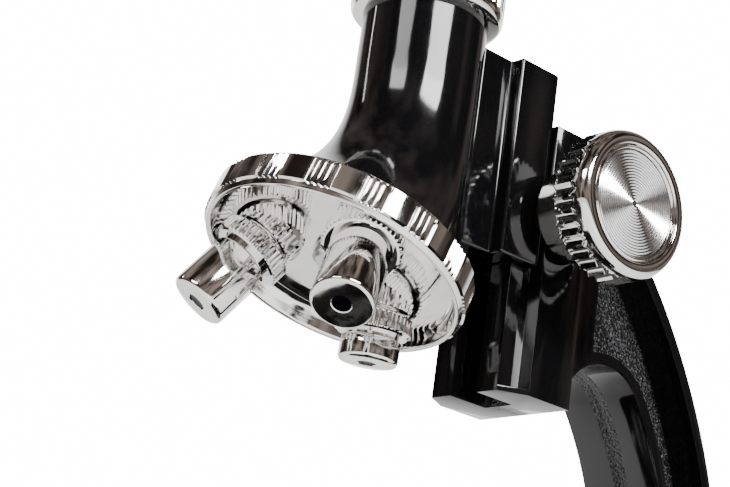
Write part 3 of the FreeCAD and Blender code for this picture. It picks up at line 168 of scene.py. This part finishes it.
def close_up(piece):
    """Close the open ends and turn every face outwards."""
    take(piece)
    bpy.ops.object.mode_set(mode="EDIT")
    bpy.ops.mesh.select_all(action="SELECT")
    bpy.ops.mesh.remove_doubles(threshold=0.000001)
    bpy.ops.mesh.fill_holes(sides=0)
    bpy.ops.mesh.select_all(action="SELECT")
    bpy.ops.mesh.normals_make_consistent(inside=False)
    bpy.ops.object.mode_set(mode="OBJECT")
    return piece


def rounded_off(piece, width, angle=30, layers=2):
    """Round the edges over by a width in millimetres and smooth the rest."""
    take(piece)
    if width:
        rounding = piece.modifiers.new("Rounding", "BEVEL")
        rounding.width = width * MM
        rounding.segments = layers
        rounding.angle_limit = math.radians(angle)
        bpy.ops.object.modifier_apply(modifier=rounding.name)
    bpy.ops.object.shade_smooth_by_angle(angle=math.radians(angle))
    return piece


def drawn_up(name, outline, steps, start=None):
    """A round piece drawn up about Z from its (radius, height) corners in millimetres."""
    radius, height = outline[0]
    if start is None:
        let_go()
        bpy.ops.mesh.primitive_circle_add(vertices=steps, radius=radius * MM,
                                          location=(0, 0, height * MM))
        start = settle(bpy.context.object)
        start.name = start.data.name = name
        bpy.ops.object.mode_set(mode="EDIT")
        bpy.ops.mesh.select_all(action="SELECT")
    for next_radius, next_height in outline[1:]:
        bpy.ops.mesh.extrude_region_move(
            TRANSFORM_OT_translate={"value": (0, 0, (next_height - height) * MM)})
        bpy.ops.transform.resize(value=(next_radius / radius, next_radius / radius, 1),
                                 center_override=(0, 0, 0))
        radius, height = next_radius, next_height
    return close_up(start)


def slab(name, low, high):
    """A block between two corners in millimetres."""
    let_go()
    middle = [(a + b) / 2 * MM for a, b in zip(low, high)]
    size = [(b - a) * MM for a, b in zip(low, high)]
    bpy.ops.mesh.primitive_cube_add(size=1, location=middle, scale=size)
    made = settle(bpy.context.object)
    made.name = made.data.name = name
    return made


def split_and_pull(piece, cuts, wanted, pull):
    """Score a block along planes across X, then pull the wanted faces out."""
    take(piece)
    bpy.ops.object.mode_set(mode="EDIT")
    for cut in cuts:
        bpy.ops.mesh.select_all(action="SELECT")
        bpy.ops.mesh.bisect(plane_co=(cut * MM, 0, 0), plane_no=(1, 0, 0))
    bpy.ops.mesh.select_all(action="DESELECT")
    bpy.ops.object.mode_set(mode="OBJECT")
    for face in piece.data.polygons:
        face.select = wanted(face.center / MM, face.normal)
    bpy.ops.object.mode_set(mode="EDIT")
    bpy.ops.mesh.select_mode(type="FACE")
    bpy.ops.mesh.extrude_region_move(
        TRANSFORM_OT_translate={"value": [step * MM for step in pull]})
    bpy.ops.mesh.select_mode(type="VERT")
    bpy.ops.object.mode_set(mode="OBJECT")
    return piece


def joined(pieces, name):
    take(pieces[0])
    for other in pieces[1:]:
        other.select_set(True)
    if len(pieces) > 1:
        bpy.ops.object.join()
    pieces[0].name = pieces[0].data.name = name
    return pieces[0]


def fitted(piece, finish, body, slot, *nodes):
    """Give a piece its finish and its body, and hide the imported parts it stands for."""
    piece.data.materials.clear()
    piece.data.materials.append(finish.material)
    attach(piece, body)
    if nodes:
        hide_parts(*nodes)
    return piece


black_moulding = gloss_black("polished_black_plastic")

HOOD_TOP, TUBE_TOP = 161.0, 182.0
TUBE_RADIUS, HOOD_RADIUS = 11.75, 20.8
HOOD_FOOT_Y, HOOD_FOOT_Z = -11.32, 124.67
TURRET_TILT = math.radians(20)
HOOD_RINGS, HOOD_FLARE = 16, 2.8
BORE_RADIUS, BORE_FLOOR = 10.3, 138.7

let_go()
for ring in range(HOOD_RINGS + 1):
    share = 1 - ring / HOOD_RINGS
    flare = share ** HOOD_FLARE
    made_at = (0, HOOD_FOOT_Y * flare * MM, (HOOD_TOP - (HOOD_TOP - HOOD_FOOT_Z) * share) * MM)
    bpy.ops.mesh.primitive_circle_add(
        vertices=128, radius=(TUBE_RADIUS + (HOOD_RADIUS - TUBE_RADIUS) * flare) * MM,
        location=made_at, rotation=(-TURRET_TILT * share, 0, 0))
    if ring == 0:
        settle(bpy.context.object)
        tube = bpy.context.object
        bpy.ops.object.mode_set(mode="EDIT")
bpy.ops.mesh.select_all(action="SELECT")
bpy.ops.mesh.bridge_edge_loops(type="SINGLE")
bpy.ops.mesh.select_all(action="DESELECT")
bpy.ops.object.mode_set(mode="OBJECT")
for corner in tube.data.vertices:
    corner.select = corner.co.z > (HOOD_TOP - 0.01) * MM
bpy.ops.object.mode_set(mode="EDIT")
drawn_up("tube", [(TUBE_RADIUS, HOOD_TOP), (TUBE_RADIUS, 171), (TUBE_RADIUS, TUBE_TOP - 0.4),
                  (TUBE_RADIUS - 0.4, TUBE_TOP), (BORE_RADIUS, TUBE_TOP),
                  (BORE_RADIUS, BORE_FLOOR)], 128, tube)
rounded_off(tube, 0, 40)

neck = slab("neck", (-10.6, 16.15, 129.8), (10.6, 20.9, 168.4))
split_and_pull(neck, (-7.6, 7.6), lambda c, n: n.y < -0.9 and abs(c.x) < 7, (0, -7.4, 0))
split_and_pull(neck, (-8.8, -3.2, 3.2, 8.8), lambda c, n: n.y > 0.9 and abs(c.x) > 8.8,
               (0, 5.2, 0))
split_and_pull(neck, (), lambda c, n: n.y > 0.9 and abs(c.x) < 3 and c.y < 21, (0, 4.0, 0))
rounded_off(neck, 0.55, layers=4)
fitted(joined([tube, neck], "tube_and_carriage"), black_moulding, "tube", "black_plastic",
       "body_tube")


# ---- Chrome collar round the tube's top ----
# A ring pressed over the tube, plain and rounded below and broadly ribbed above. It is moulded
# in plastic and plated bright.

def plating(name, tint=(0.86, 0.85, 0.83)):
    """Bright plating on plastic: a mirror with faint smears and a slight ripple."""
    bright = Finish(name, Metallic=1.0)
    smears = bright.cloud(220, 4.0)
    bright.vary("Base Color", bright.between(smears, tint, [shade * 0.86 for shade in tint]))
    bright.vary("Roughness", 0.03 + smears ** 3 * 0.3)
    bright.relief(bright.cloud(420, 1.0), 0.008)
    return bright


def fluted(piece, steps, pattern, low, high, least=0.0):
    """Press ribs round a piece: the pattern is how far each step of one rib moves, in
    millimetres, for the corners between two heights and beyond a least radius."""
    for phase, push in enumerate(pattern):
        if not push:
            continue
        take(piece)
        reach = 0.0
        for corner in piece.data.vertices:
            radius = math.hypot(corner.co.x, corner.co.y) / MM
            turn = round(math.atan2(corner.co.x, corner.co.y) / (2 * math.pi) * steps)
            corner.select = (turn % len(pattern) == phase and radius > least
                             and low < corner.co.z / MM < high)
            if corner.select:
                reach = max(reach, radius)
        for edge in piece.data.edges:
            edge.select = False
        for face in piece.data.polygons:
            face.select = False
        if not reach:
            continue
        bpy.ops.object.mode_set(mode="EDIT")
        bpy.ops.transform.resize(value=(1 + push / reach, 1 + push / reach, 1),
                                 center_override=(0, 0, 0))
        bpy.ops.object.mode_set(mode="OBJECT")
    return piece


chrome = plating("bright_plating")

collar = drawn_up("collar", [
    (11.8, 171.5), (13.1, 171.5), (13.8, 171.75), (14.25, 172.4), (14.4, 173.2), (14.4, 173.7),
    (14.4, 174.0), (14.4, 178.6), (14.2, 179.1), (13.6, 179.5), (11.8, 179.5), (11.8, 171.5)],
    240)
fluted(collar, 240, (0, 0, -0.45, -0.45, 0, 0), 173.9, 179.3, 12.5)
rounded_off(collar, 0, 28)
fitted(collar, chrome, "tube", "plated_plastic", "tube_ring")


# ---- Turret disc ----
# A plated dish that turns on the tilted pivot. Smooth raised blocks and groups of narrow ribs
# alternate round its rim, and a ribbed socket in its mirror-bright floor holds each objective.

TURRET_FORWARD, TURRET_HEIGHT, TURRET_TURN = 13.75, 118.0, -9.75
APEX = TURRET_FORWARD / math.sin(TURRET_TILT)
FLOOR = (APEX - 4.0) / math.cos(TURRET_TILT)
turret_frame = (Matrix.Translation((0, -TURRET_FORWARD * MM, TURRET_HEIGHT * MM))
                @ Matrix.Rotation(-TURRET_TILT, 4, "X"))


def objective_frame(turn):
    """Z runs up an objective's axis to the point where all three meet."""
    return (turret_frame @ Matrix.Translation((0, 0, APEX * MM))
            @ Matrix.Rotation(-math.radians(turn + TURRET_TURN), 4, "Z")
            @ Matrix.Rotation(TURRET_TILT, 4, "X"))


OBJECTIVES = {"short": (0, 50.4), "middle": (-120, 57.2), "long": (120, 58.9)}

dish = drawn_up("dish", [
    (2.5, 6.8), (23.4, 6.8), (24.0, 6.65), (24.2, 6.35), (24.2, 6.1), (24.2, 1.25),
    (24.2, 1.0), (24.15, 0.75), (23.95, 0.5), (23.9, 0.12), (23.8, 0.02), (23.3, 0.0),
    (23.15, 0.1), (22.95, 0.6), (22.6, 1.8), (22.2, 2.9), (21.7, 3.6), (21.1, 3.95),
    (20.4, 4.0), (2.5, 4.0), (2.5, 6.8)], 512)
fluted(dish, 512, (0.45,) * 16 + (-0.25, 0.1, 0.38, 0.1) * 4, 1.2, 6.2, 24.0)
rounded_off(dish, 0, 42)
settle(dish, turret_frame @ Matrix.Rotation(-math.radians(TURRET_TURN), 4, "Z"))
sockets = []
for name, (turn, length) in OBJECTIVES.items():
    socket = drawn_up("socket", [
        (3.9, -FLOOR + 1.2), (6.2, -FLOOR + 1.2), (6.2, -FLOOR - 1.7), (6.0, -FLOOR - 2.05),
        (5.6, -FLOOR - 2.2), (3.9, -FLOOR - 2.2), (3.9, -FLOOR + 1.2)], 120)
    fluted(socket, 120, (0, 0, -0.4, -0.4), -FLOOR - 1.9, -FLOOR + 2, 5.0)
    rounded_off(socket, 0, 28)
    sockets.append(settle(socket, objective_frame(turn)))
fitted(joined([dish] + sockets, "turret_dish"), chrome, "turret", "plated_plastic",
       "turret_disc")


# ---- Objectives ----
# Each is a plated barrel with a rounded nose and a small round window, a narrower neck behind
# it and a finely knurled grip ring. The short one is at the back, over the stage's hole.

GRIP_BACK, GRIP_FRONT = FLOOR + 2.9, FLOOR + 6.6

dark_glass = Finish("coated_glass", Roughness=0.15, IOR=1.5, Specular_IOR_Level=0.05)
dark_glass.vary("Base Color", dark_glass.between(dark_glass.cloud(400), (0.001, 0.001, 0.002),
                                                 (0.003, 0.002, 0.005)))

for name, (turn, length) in OBJECTIVES.items():
    barrel = drawn_up(f"{name}_objective_barrel", [
        (1.7, -length + 1.0), (1.7, -length + 0.14), (1.84, -length), (4.75, -length),
        (5.05, -length + 0.08), (5.3, -length + 0.3), (5.42, -length + 0.6),
        (5.45, -length + 0.95), (5.45, -GRIP_FRONT - 1.1), (5.35, -GRIP_FRONT - 0.9),
        (4.9, -GRIP_FRONT - 0.8), (4.9, -FLOOR - 2.2), (3.9, -FLOOR - 2.2), (3.9, -36.6),
        (3.55, -36.6), (3.55, -length + 1.0), (1.75, -length + 1.0)], 96)
    rounded_off(barrel, 0, 28)
    settle(barrel, objective_frame(turn))
    fitted(barrel, chrome, "turret", "plated_plastic", f"objective_{name}_barrel")
    grip = drawn_up(f"{name}_objective_grip", [
        (4.9, -GRIP_FRONT), (6.3, -GRIP_FRONT), (6.65, -GRIP_FRONT + 0.3),
        (6.7, -GRIP_FRONT + 0.5), (6.7, -GRIP_BACK - 0.5), (6.65, -GRIP_BACK - 0.3),
        (6.3, -GRIP_BACK), (4.9, -GRIP_BACK), (4.9, -GRIP_FRONT)], 176)
    fluted(grip, 176, (0.3, 0.3, -0.1, -0.1), -GRIP_FRONT + 0.4, -GRIP_BACK - 0.4, 6.0)
    rounded_off(grip, 0, 24)
    settle(grip, objective_frame(turn))
    fitted(grip, chrome, "turret", "plated_plastic", f"objective_{name}_grip")
    window = drawn_up(f"{name}_objective_lens", [
        (0.4, -length + 0.34), (1.66, -length + 0.22), (1.66, -length + 1.02),
        (3.4, -length + 1.02), (3.4, -length + 2.2), (0.4, -length + 2.6)], 64)
    rounded_off(window, 0, 30)
    settle(window, objective_frame(turn))
    fitted(window, dark_glass, "turret", "lens_glass", f"objective_{name}_lens")


# ---- Focus knobs and their spun discs ----
# Two plated knobs on one shaft: a plain hub, a deep scalloped grip with a rounded shoulder,
# and a thin spun metal disc let into the face, with a bead round it.

spun_metal = Finish("spun_metal", Metallic=1.0)
spun_metal.vary("Base Color", spun_metal.between(spun_metal.cloud(300), (0.88, 0.88, 0.88),
                                                 (0.76, 0.76, 0.77)))
spun_metal.vary("Roughness", 0.12 + spun_metal.cloud(900) * 0.08)

KNOB_Y, KNOB_Z = 30.3, 140.6
GROOVES, GROOVE_PITCH = 17, 0.55
RIB = (0, -0.45, -0.8, -1.0, -1.05, -1.0, -0.8, -0.45)
for side, quarter in (("right", 90), ("left", -90)):
    knob_frame = (Matrix.Translation((0, KNOB_Y * MM, KNOB_Z * MM))
                  @ Matrix.Rotation(math.radians(quarter), 4, "Y"))
    knob = drawn_up(f"{side}_focus_knob", [
        (2.0, 12.7), (8.1, 12.7), (8.5, 12.85), (8.7, 13.3), (8.7, 21.1), (9.0, 21.3),
        (12.9, 21.3), (13.6, 21.4), (13.85, 21.6), (13.9, 21.9), (13.9, 25.4), (13.9, 25.8),
        (13.9, 26.2), (13.9, 26.6), (13.9, 27.0), (13.85, 27.6), (13.7, 28.2), (13.45, 28.8),
        (13.1, 29.25), (12.7, 29.52), (12.3, 29.6), (11.3, 29.6), (11.1, 29.5),
        (10.95, 29.25), (10.8, 29.2), (10.65, 29.35), (10.5, 29.5), (10.3, 29.5),
        (10.12, 29.35), (10.0, 29.0), (9.95, 28.6), (2.0, 28.6), (2.0, 12.7)], 288)
    for low, high, left in ((21.3, 25.6, 0.0), (25.6, 26.0, 0.12), (26.0, 26.4, 0.38),
                            (26.4, 26.8, 0.72)):
        fluted(knob, 288, [min(0.0, push + left) for push in RIB], low, high, 13.5)
    rounded_off(knob, 0, 35)
    settle(knob, knob_frame)
    fitted(knob, chrome, "pinion", "plated_plastic", f"focus_knob_{side}")
    grooves = [(9.8, 28.6), (9.8, 29.0)]
    for groove in range(GROOVES):
        crest = 9.6 - groove * GROOVE_PITCH
        grooves += [(crest, 29.15), (crest - GROOVE_PITCH / 2, 29.02)]
    disc = drawn_up(f"{side}_knob_disc", grooves + [(0.15, 29.1)], 144)
    rounded_off(disc, 0, 20)
    settle(disc, knob_frame)
    fitted(disc, spun_metal, "pinion", "spun_aluminium", f"knob_disc_{side}")


# ---- Arm ----
# The C-shaped arm is moulded in two halves that meet in the middle: a smooth glossy flange runs
# round each, and the web between is sunk and left with the mould's fine grit, its sparkle painted
# as lighter specks in the colour.

def softened(name, node, width, layers=2):
    """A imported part's own shape with its edges rounded, as a moulding's are."""
    let_go()
    made = bpy.data.objects.new(name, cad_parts[node].data.copy())
    bpy.context.scene.collection.objects.link(made)
    take(made)
    bpy.ops.object.mode_set(mode="EDIT")
    bpy.ops.mesh.select_all(action="SELECT")
    bpy.ops.mesh.remove_doubles(threshold=0.000002)
    bpy.ops.mesh.dissolve_limited(angle_limit=math.radians(0.6))
    bpy.ops.object.mode_set(mode="OBJECT")
    return rounded_off(made, width, layers=layers)


arm_black = Finish("arm_black_plastic", Specular_IOR_Level=0.5, IOR=1.5)
WEB_HALF_WIDTH = 1.9
across = arm_black.node("ShaderNodeSeparateXYZ", {}, {"Vector": arm_black.place()}, "X")
sunk = abs(across) < WEB_HALF_WIDTH * MM
grit = arm_black.cloud(1900, 1.5)
marks = arm_black.cloud(120, 4.0) ** 2
# painted glints: lighter specks in the sunk web's colour stand in for the sparkle of its grit
painted_glints = (arm_black.cloud(2300, 0.0) > 0.6) * sunk
arm_black.vary("Base Color", arm_black.between(painted_glints * 0.5, (0.0025, 0.0025, 0.003),
                                               (0.08, 0.08, 0.083)))
arm_black.vary("Roughness", 0.05 + marks * 0.13 + sunk * 0.16)
arm_black.relief(grit * sunk + arm_black.cloud(260, 1.0) * 0.03, 0.4)

for side in ("right", "left"):
    fitted(softened(f"arm_half_{side}", f"arm_{side}", 0.45, 3), arm_black, "arm",
           "black_plastic", f"arm_{side}")


# ---- Stage, base and mirror bracket ----
# Plain black mouldings with rounded edges: the stage is screwed to the arm, the bracket under
# it holds the mirror, and the base is a shell closed from below over a cast weight.

for name, node, body, width in (
        ("stage", "stage_plate", "arm", 0.6), ("base", "base_shell", "base", 1.4),
        ("bracket", "mirror_bracket", "arm", 0.5)):
    fitted(softened(f"{name}_moulding", node, width, 3), black_moulding, body,
           "black_plastic", node)

matt_black = Finish("matt_black_plastic", Specular_IOR_Level=0.4)
matt_black.vary("Base Color", matt_black.between(matt_black.cloud(700), (0.012, 0.012, 0.013),
                                                 (0.02, 0.02, 0.021)))
matt_black.vary("Roughness", 0.42 + matt_black.cloud(1500) * 0.16)
matt_black.relief(matt_black.cloud(2400, 1.0), 0.03)
fitted(softened("diaphragm", "diaphragm_disc", 0.25), matt_black, "diaphragm",
       "matt_black_plastic", "diaphragm_disc")
fitted(softened("bottom_cover", "base_cover", 0.25), matt_black, "base",
       "matt_black_plastic", "base_cover")

rubber = Finish("matt_rubber", Specular_IOR_Level=0.3)
rubber.vary("Base Color", rubber.between(rubber.cloud(500), (0.014, 0.014, 0.014),
                                         (0.024, 0.023, 0.022)))
rubber.vary("Roughness", 0.62 + rubber.cloud(1200) * 0.2)
rubber.relief(rubber.cloud(3000, 1.0), 0.03)
fitted(softened("standing_ring", "rubber_ring", 0.3), rubber, "base", "rubber", "rubber_ring")


# ---- Clips, mirror and tilt bolt ----
# Small pressed and turned metal parts, bright zinc plated, and a silvered round mirror in a
# black moulded holder that tips in its fork.

steel = Finish("zinc_plated_steel", Metallic=1.0)
steel.vary("Base Color", steel.between(steel.cloud(260, 4.0), (0.66, 0.66, 0.67),
                                       (0.54, 0.54, 0.55)))
steel.vary("Roughness", 0.2 + steel.cloud(800, 4.0) * 0.18)
steel.relief(steel.cloud(1800, 2.0), 0.01)

for name, node, body, width in (
        ("right_clip", "stage_clip_right", "clip_right", 0.12),
        ("left_clip", "stage_clip_left", "clip_left", 0.12),
        ("clip_rivets", "clip_pins", "arm", 0.3),
        ("mirror_fork_bent", "mirror_fork", "mirror_fork", 0.3),
        ("tilt_bolt_turned", "tilt_bolt", "base", 0.5)):
    fitted(softened(name, node, width), steel, body, "steel", node)
fitted(softened("mirror_cup", "mirror_holder", 0.3), black_moulding, "mirror",
       "black_plastic", "mirror_holder")
nut = drawn_up("knurled_nut", [
    (3.0, 15.6), (6.4, 15.6), (6.9, 15.9), (7.0, 16.2), (7.0, 19.9), (6.9, 20.2), (6.4, 20.6),
    (0.3, 20.6), (0.3, 19.9), (3.0, 19.6), (3.0, 15.6)], 160)
fluted(nut, 160, (0, 0, -0.35, -0.35), 15.95, 20.1, 6.0)
rounded_off(nut, 0, 28)
nut_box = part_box("tilt_nut")
settle(nut, Matrix.Translation((0, (nut_box[0].y + nut_box[1].y) / 2,
                                (nut_box[0].z + nut_box[1].z) / 2))
       @ Matrix.Rotation(math.radians(-90), 4, "Y"))
fitted(nut, chrome, "base", "plated_plastic", "tilt_nut")

silvered = Finish("silvered_glass", Metallic=1.0, Coat_Weight=1.0, Coat_Roughness=0.01)
silvered.vary("Base Color", silvered.between(silvered.cloud(180), (0.93, 0.94, 0.94),
                                             (0.88, 0.9, 0.9)))
silvered.vary("Roughness", 0.01 + silvered.cloud(500) * 0.02)


# ---- Draw tube and eyepiece ----
# A plated draw tube slides in the body tube and carries the eyepiece: a black ribbed barrel
# with its lens let into the top, and a soft rubber cup for the eye.

draw = drawn_up("sliding_draw_tube", [
    (8.9, 148.3), (9.2, 148.0), (9.8, 148.0), (10.1, 148.3), (10.1, 191.0), (8.9, 191.0),
    (8.9, 148.3)], 128)
rounded_off(draw, 0, 35)
fitted(draw, chrome, "eyepiece", "plated_plastic", "draw_tube")

barrel = drawn_up("ribbed_eyepiece", [
    (8.9, 191.0), (12.2, 191.0), (12.9, 191.2), (13.2, 191.8), (13.2, 194.2), (12.8, 194.6),
    (12.8, 195.1), (13.2, 195.5), (13.2, 195.9), (13.2, 207.9), (13.2, 208.3), (12.8, 208.7),
    (12.8, 209.2), (13.2, 209.6), (13.2, 210.8), (12.9, 211.5), (12.2, 212.0), (7.0, 212.0),
    (7.0, 210.3), (8.5, 210.0), (8.5, 194.0), (8.9, 193.0), (8.9, 191.0)], 256)
fluted(barrel, 256, (0, 0, -0.35, -0.35), 195.7, 208.1, 12.0)
rounded_off(barrel, 0, 28)
fitted(barrel, black_moulding, "eyepiece", "black_plastic", "eyepiece_barrel")

cup = drawn_up("soft_eye_cup", [
    (7.0, 212.0), (11.4, 212.0), (11.75, 212.2), (11.8, 212.6), (11.4, 213.3), (10.95, 214.2),
    (10.7, 215.2), (10.6, 216.3), (10.35, 216.5), (10.35, 216.9), (10.6, 217.1),
    (10.6, 218.2), (10.35, 218.4), (10.35, 218.8), (10.6, 219.0), (10.6, 220.0),
    (10.45, 220.5), (10.05, 220.85), (9.5, 221.0), (8.9, 220.85), (8.4, 220.4),
    (7.9, 217.4), (7.0, 212.0)], 128)
rounded_off(cup, 0, 40)
fitted(cup, rubber, "eyepiece", "rubber", "eye_cup")


# ---- Screws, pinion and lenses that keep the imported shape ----
# Small turned, cast and stamped parts that are hidden or plain, and the eyepiece's two ground
# lenses. Their shape is as packed: they only take their metal or glass.

brass = Finish("machined_brass", Metallic=1.0)
brass.vary("Base Color", brass.between(brass.cloud(500), (0.72, 0.53, 0.24),
                                       (0.6, 0.43, 0.18)))
brass.vary("Roughness", 0.22 + brass.cloud(1400) * 0.14)

iron = Finish("cast_iron", Metallic=0.6)
iron.vary("Base Color", iron.between(iron.cloud(600), (0.1, 0.1, 0.1), (0.16, 0.15, 0.15)))
iron.vary("Roughness", 0.6 + iron.cloud(1500) * 0.2)
iron.relief(iron.cloud(1500, 3.0), 0.15)

clear_glass = Finish("clear_lens", Roughness=0.02, IOR=1.52, Transmission_Weight=1.0)
clear_glass.vary("Base Color", clear_glass.between(clear_glass.cloud(300), (0.92, 0.96, 0.97),
                                                   (0.86, 0.92, 0.95)))

for finish, nodes in (
        (steel, ("arm_screws", "stage_screws", "bracket_screws", "base_screws", "pinion_shaft",
                 "turret_pivot_screw", "turret_spring_washer", "detent_ball",
                 "detent_spring", "diaphragm_rivet", "tilt_washers")),
        (brass, ("focus_rack", "pinion_gear", "pinion_bushes")),
        (iron, ("base_weight",)), (silvered, ("mirror_glass",)),
        (clear_glass, ("field_lens", "eye_lens"))):
    for node in nodes:
        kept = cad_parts[node]
        kept.data.materials.clear()
        kept.data.materials.append(finish.material)


# ---- Studio ----
# A pale floor, a white wall behind and a darker room in front. Two tall soft boxes with round
# feet stand to the right and the front, and a narrow strip behind on the left.

let_go()
bpy.ops.mesh.primitive_plane_add(size=4.0, location=(0, 0, -0.0002))
floor = bpy.context.object
floor.name = "floor"
pale = Finish("pale_floor", Roughness=0.6, Emission_Strength=0.75,
              Emission_Color=(1, 1, 1))
pale.vary("Base Color", pale.between(pale.cloud(3), (0.62, 0.62, 0.62), (0.6, 0.6, 0.6)))
floor.data.materials.append(pale.material)

for name, shape, bearing, low, high, wide, power in (
        ("right_box", "RECTANGLE", -11, 0.68, 0.91, 0.66, 21.0),
        ("right_box_end", "ELLIPSE", -11, 0.55, 0.81, 0.66, 14.0),
        ("front_box", "RECTANGLE", -76, 0.68, 0.88, 0.50, 4.5),
        ("front_box_end", "ELLIPSE", -76, 0.57, 0.79, 0.50, 2.4),
        ("left_strip", "RECTANGLE", -147, 0.56, 0.9, 0.025, 0.7)):
    turn = math.radians(bearing)
    bpy.ops.object.light_add(type="AREA", location=(math.cos(turn), math.sin(turn),
                                                    (low + high) / 2))
    box = bpy.context.object
    box.name = name
    box.data.shape = shape
    box.data.size, box.data.size_y = wide, high - low
    box.data.energy = power
    box.rotation_euler = (math.radians(90), 0, turn + math.radians(90))

room = bpy.data.worlds.new("studio")
bpy.context.scene.world = room
surround = Wiring(room)
heading = surround.place("Generated")
WALL_BEHIND = (-0.75, 0.62, 0.1)
towards_wall = surround.node("ShaderNodeVectorMath", {"operation": "DOT_PRODUCT"},
                             {0: heading, 1: WALL_BEHIND}, "Value")
wall = surround.node("ShaderNodeValToRGB", {"stops": ((0.82, (0, 0, 0)), (0.90, (1, 1, 1)))},
                     {"Fac": towards_wall * 0.5 + 0.5})
dark_room = surround.node(
    "ShaderNodeValToRGB", {"stops": ((0.42, (0.008, 0.006, 0.005)), (0.72, (0.16, 0.13, 0.115)))},
    {"Fac": surround.cloud(3.2, 3.0, heading)})
reflected = surround.between(wall, dark_room, (1.0, 1.0, 1.0))
backdrop = surround.between(surround.node("ShaderNodeLightPath", {}, {}, "Is Camera Ray"),
                            reflected, (6.0, 6.0, 6.0))
background = surround.tree.nodes["Background"]
surround.feed(background.inputs["Color"], backdrop)
surround.feed(background.inputs["Strength"], 2.6)


# ---- Camera ----
# A close view from the front right, a little below the turret, with a long lens and everything
# in focus.

bpy.ops.object.camera_add(location=(0.245176, -0.208077, 0.02265))
camera = bpy.context.object
camera.rotation_euler = [math.radians(turn) for turn in (108.1316, -7.7761, 48.0942)]
camera.data.lens = 92.75
camera.data.sensor_width = 36.0
camera.data.clip_start = 0.01
bpy.context.scene.camera = camera
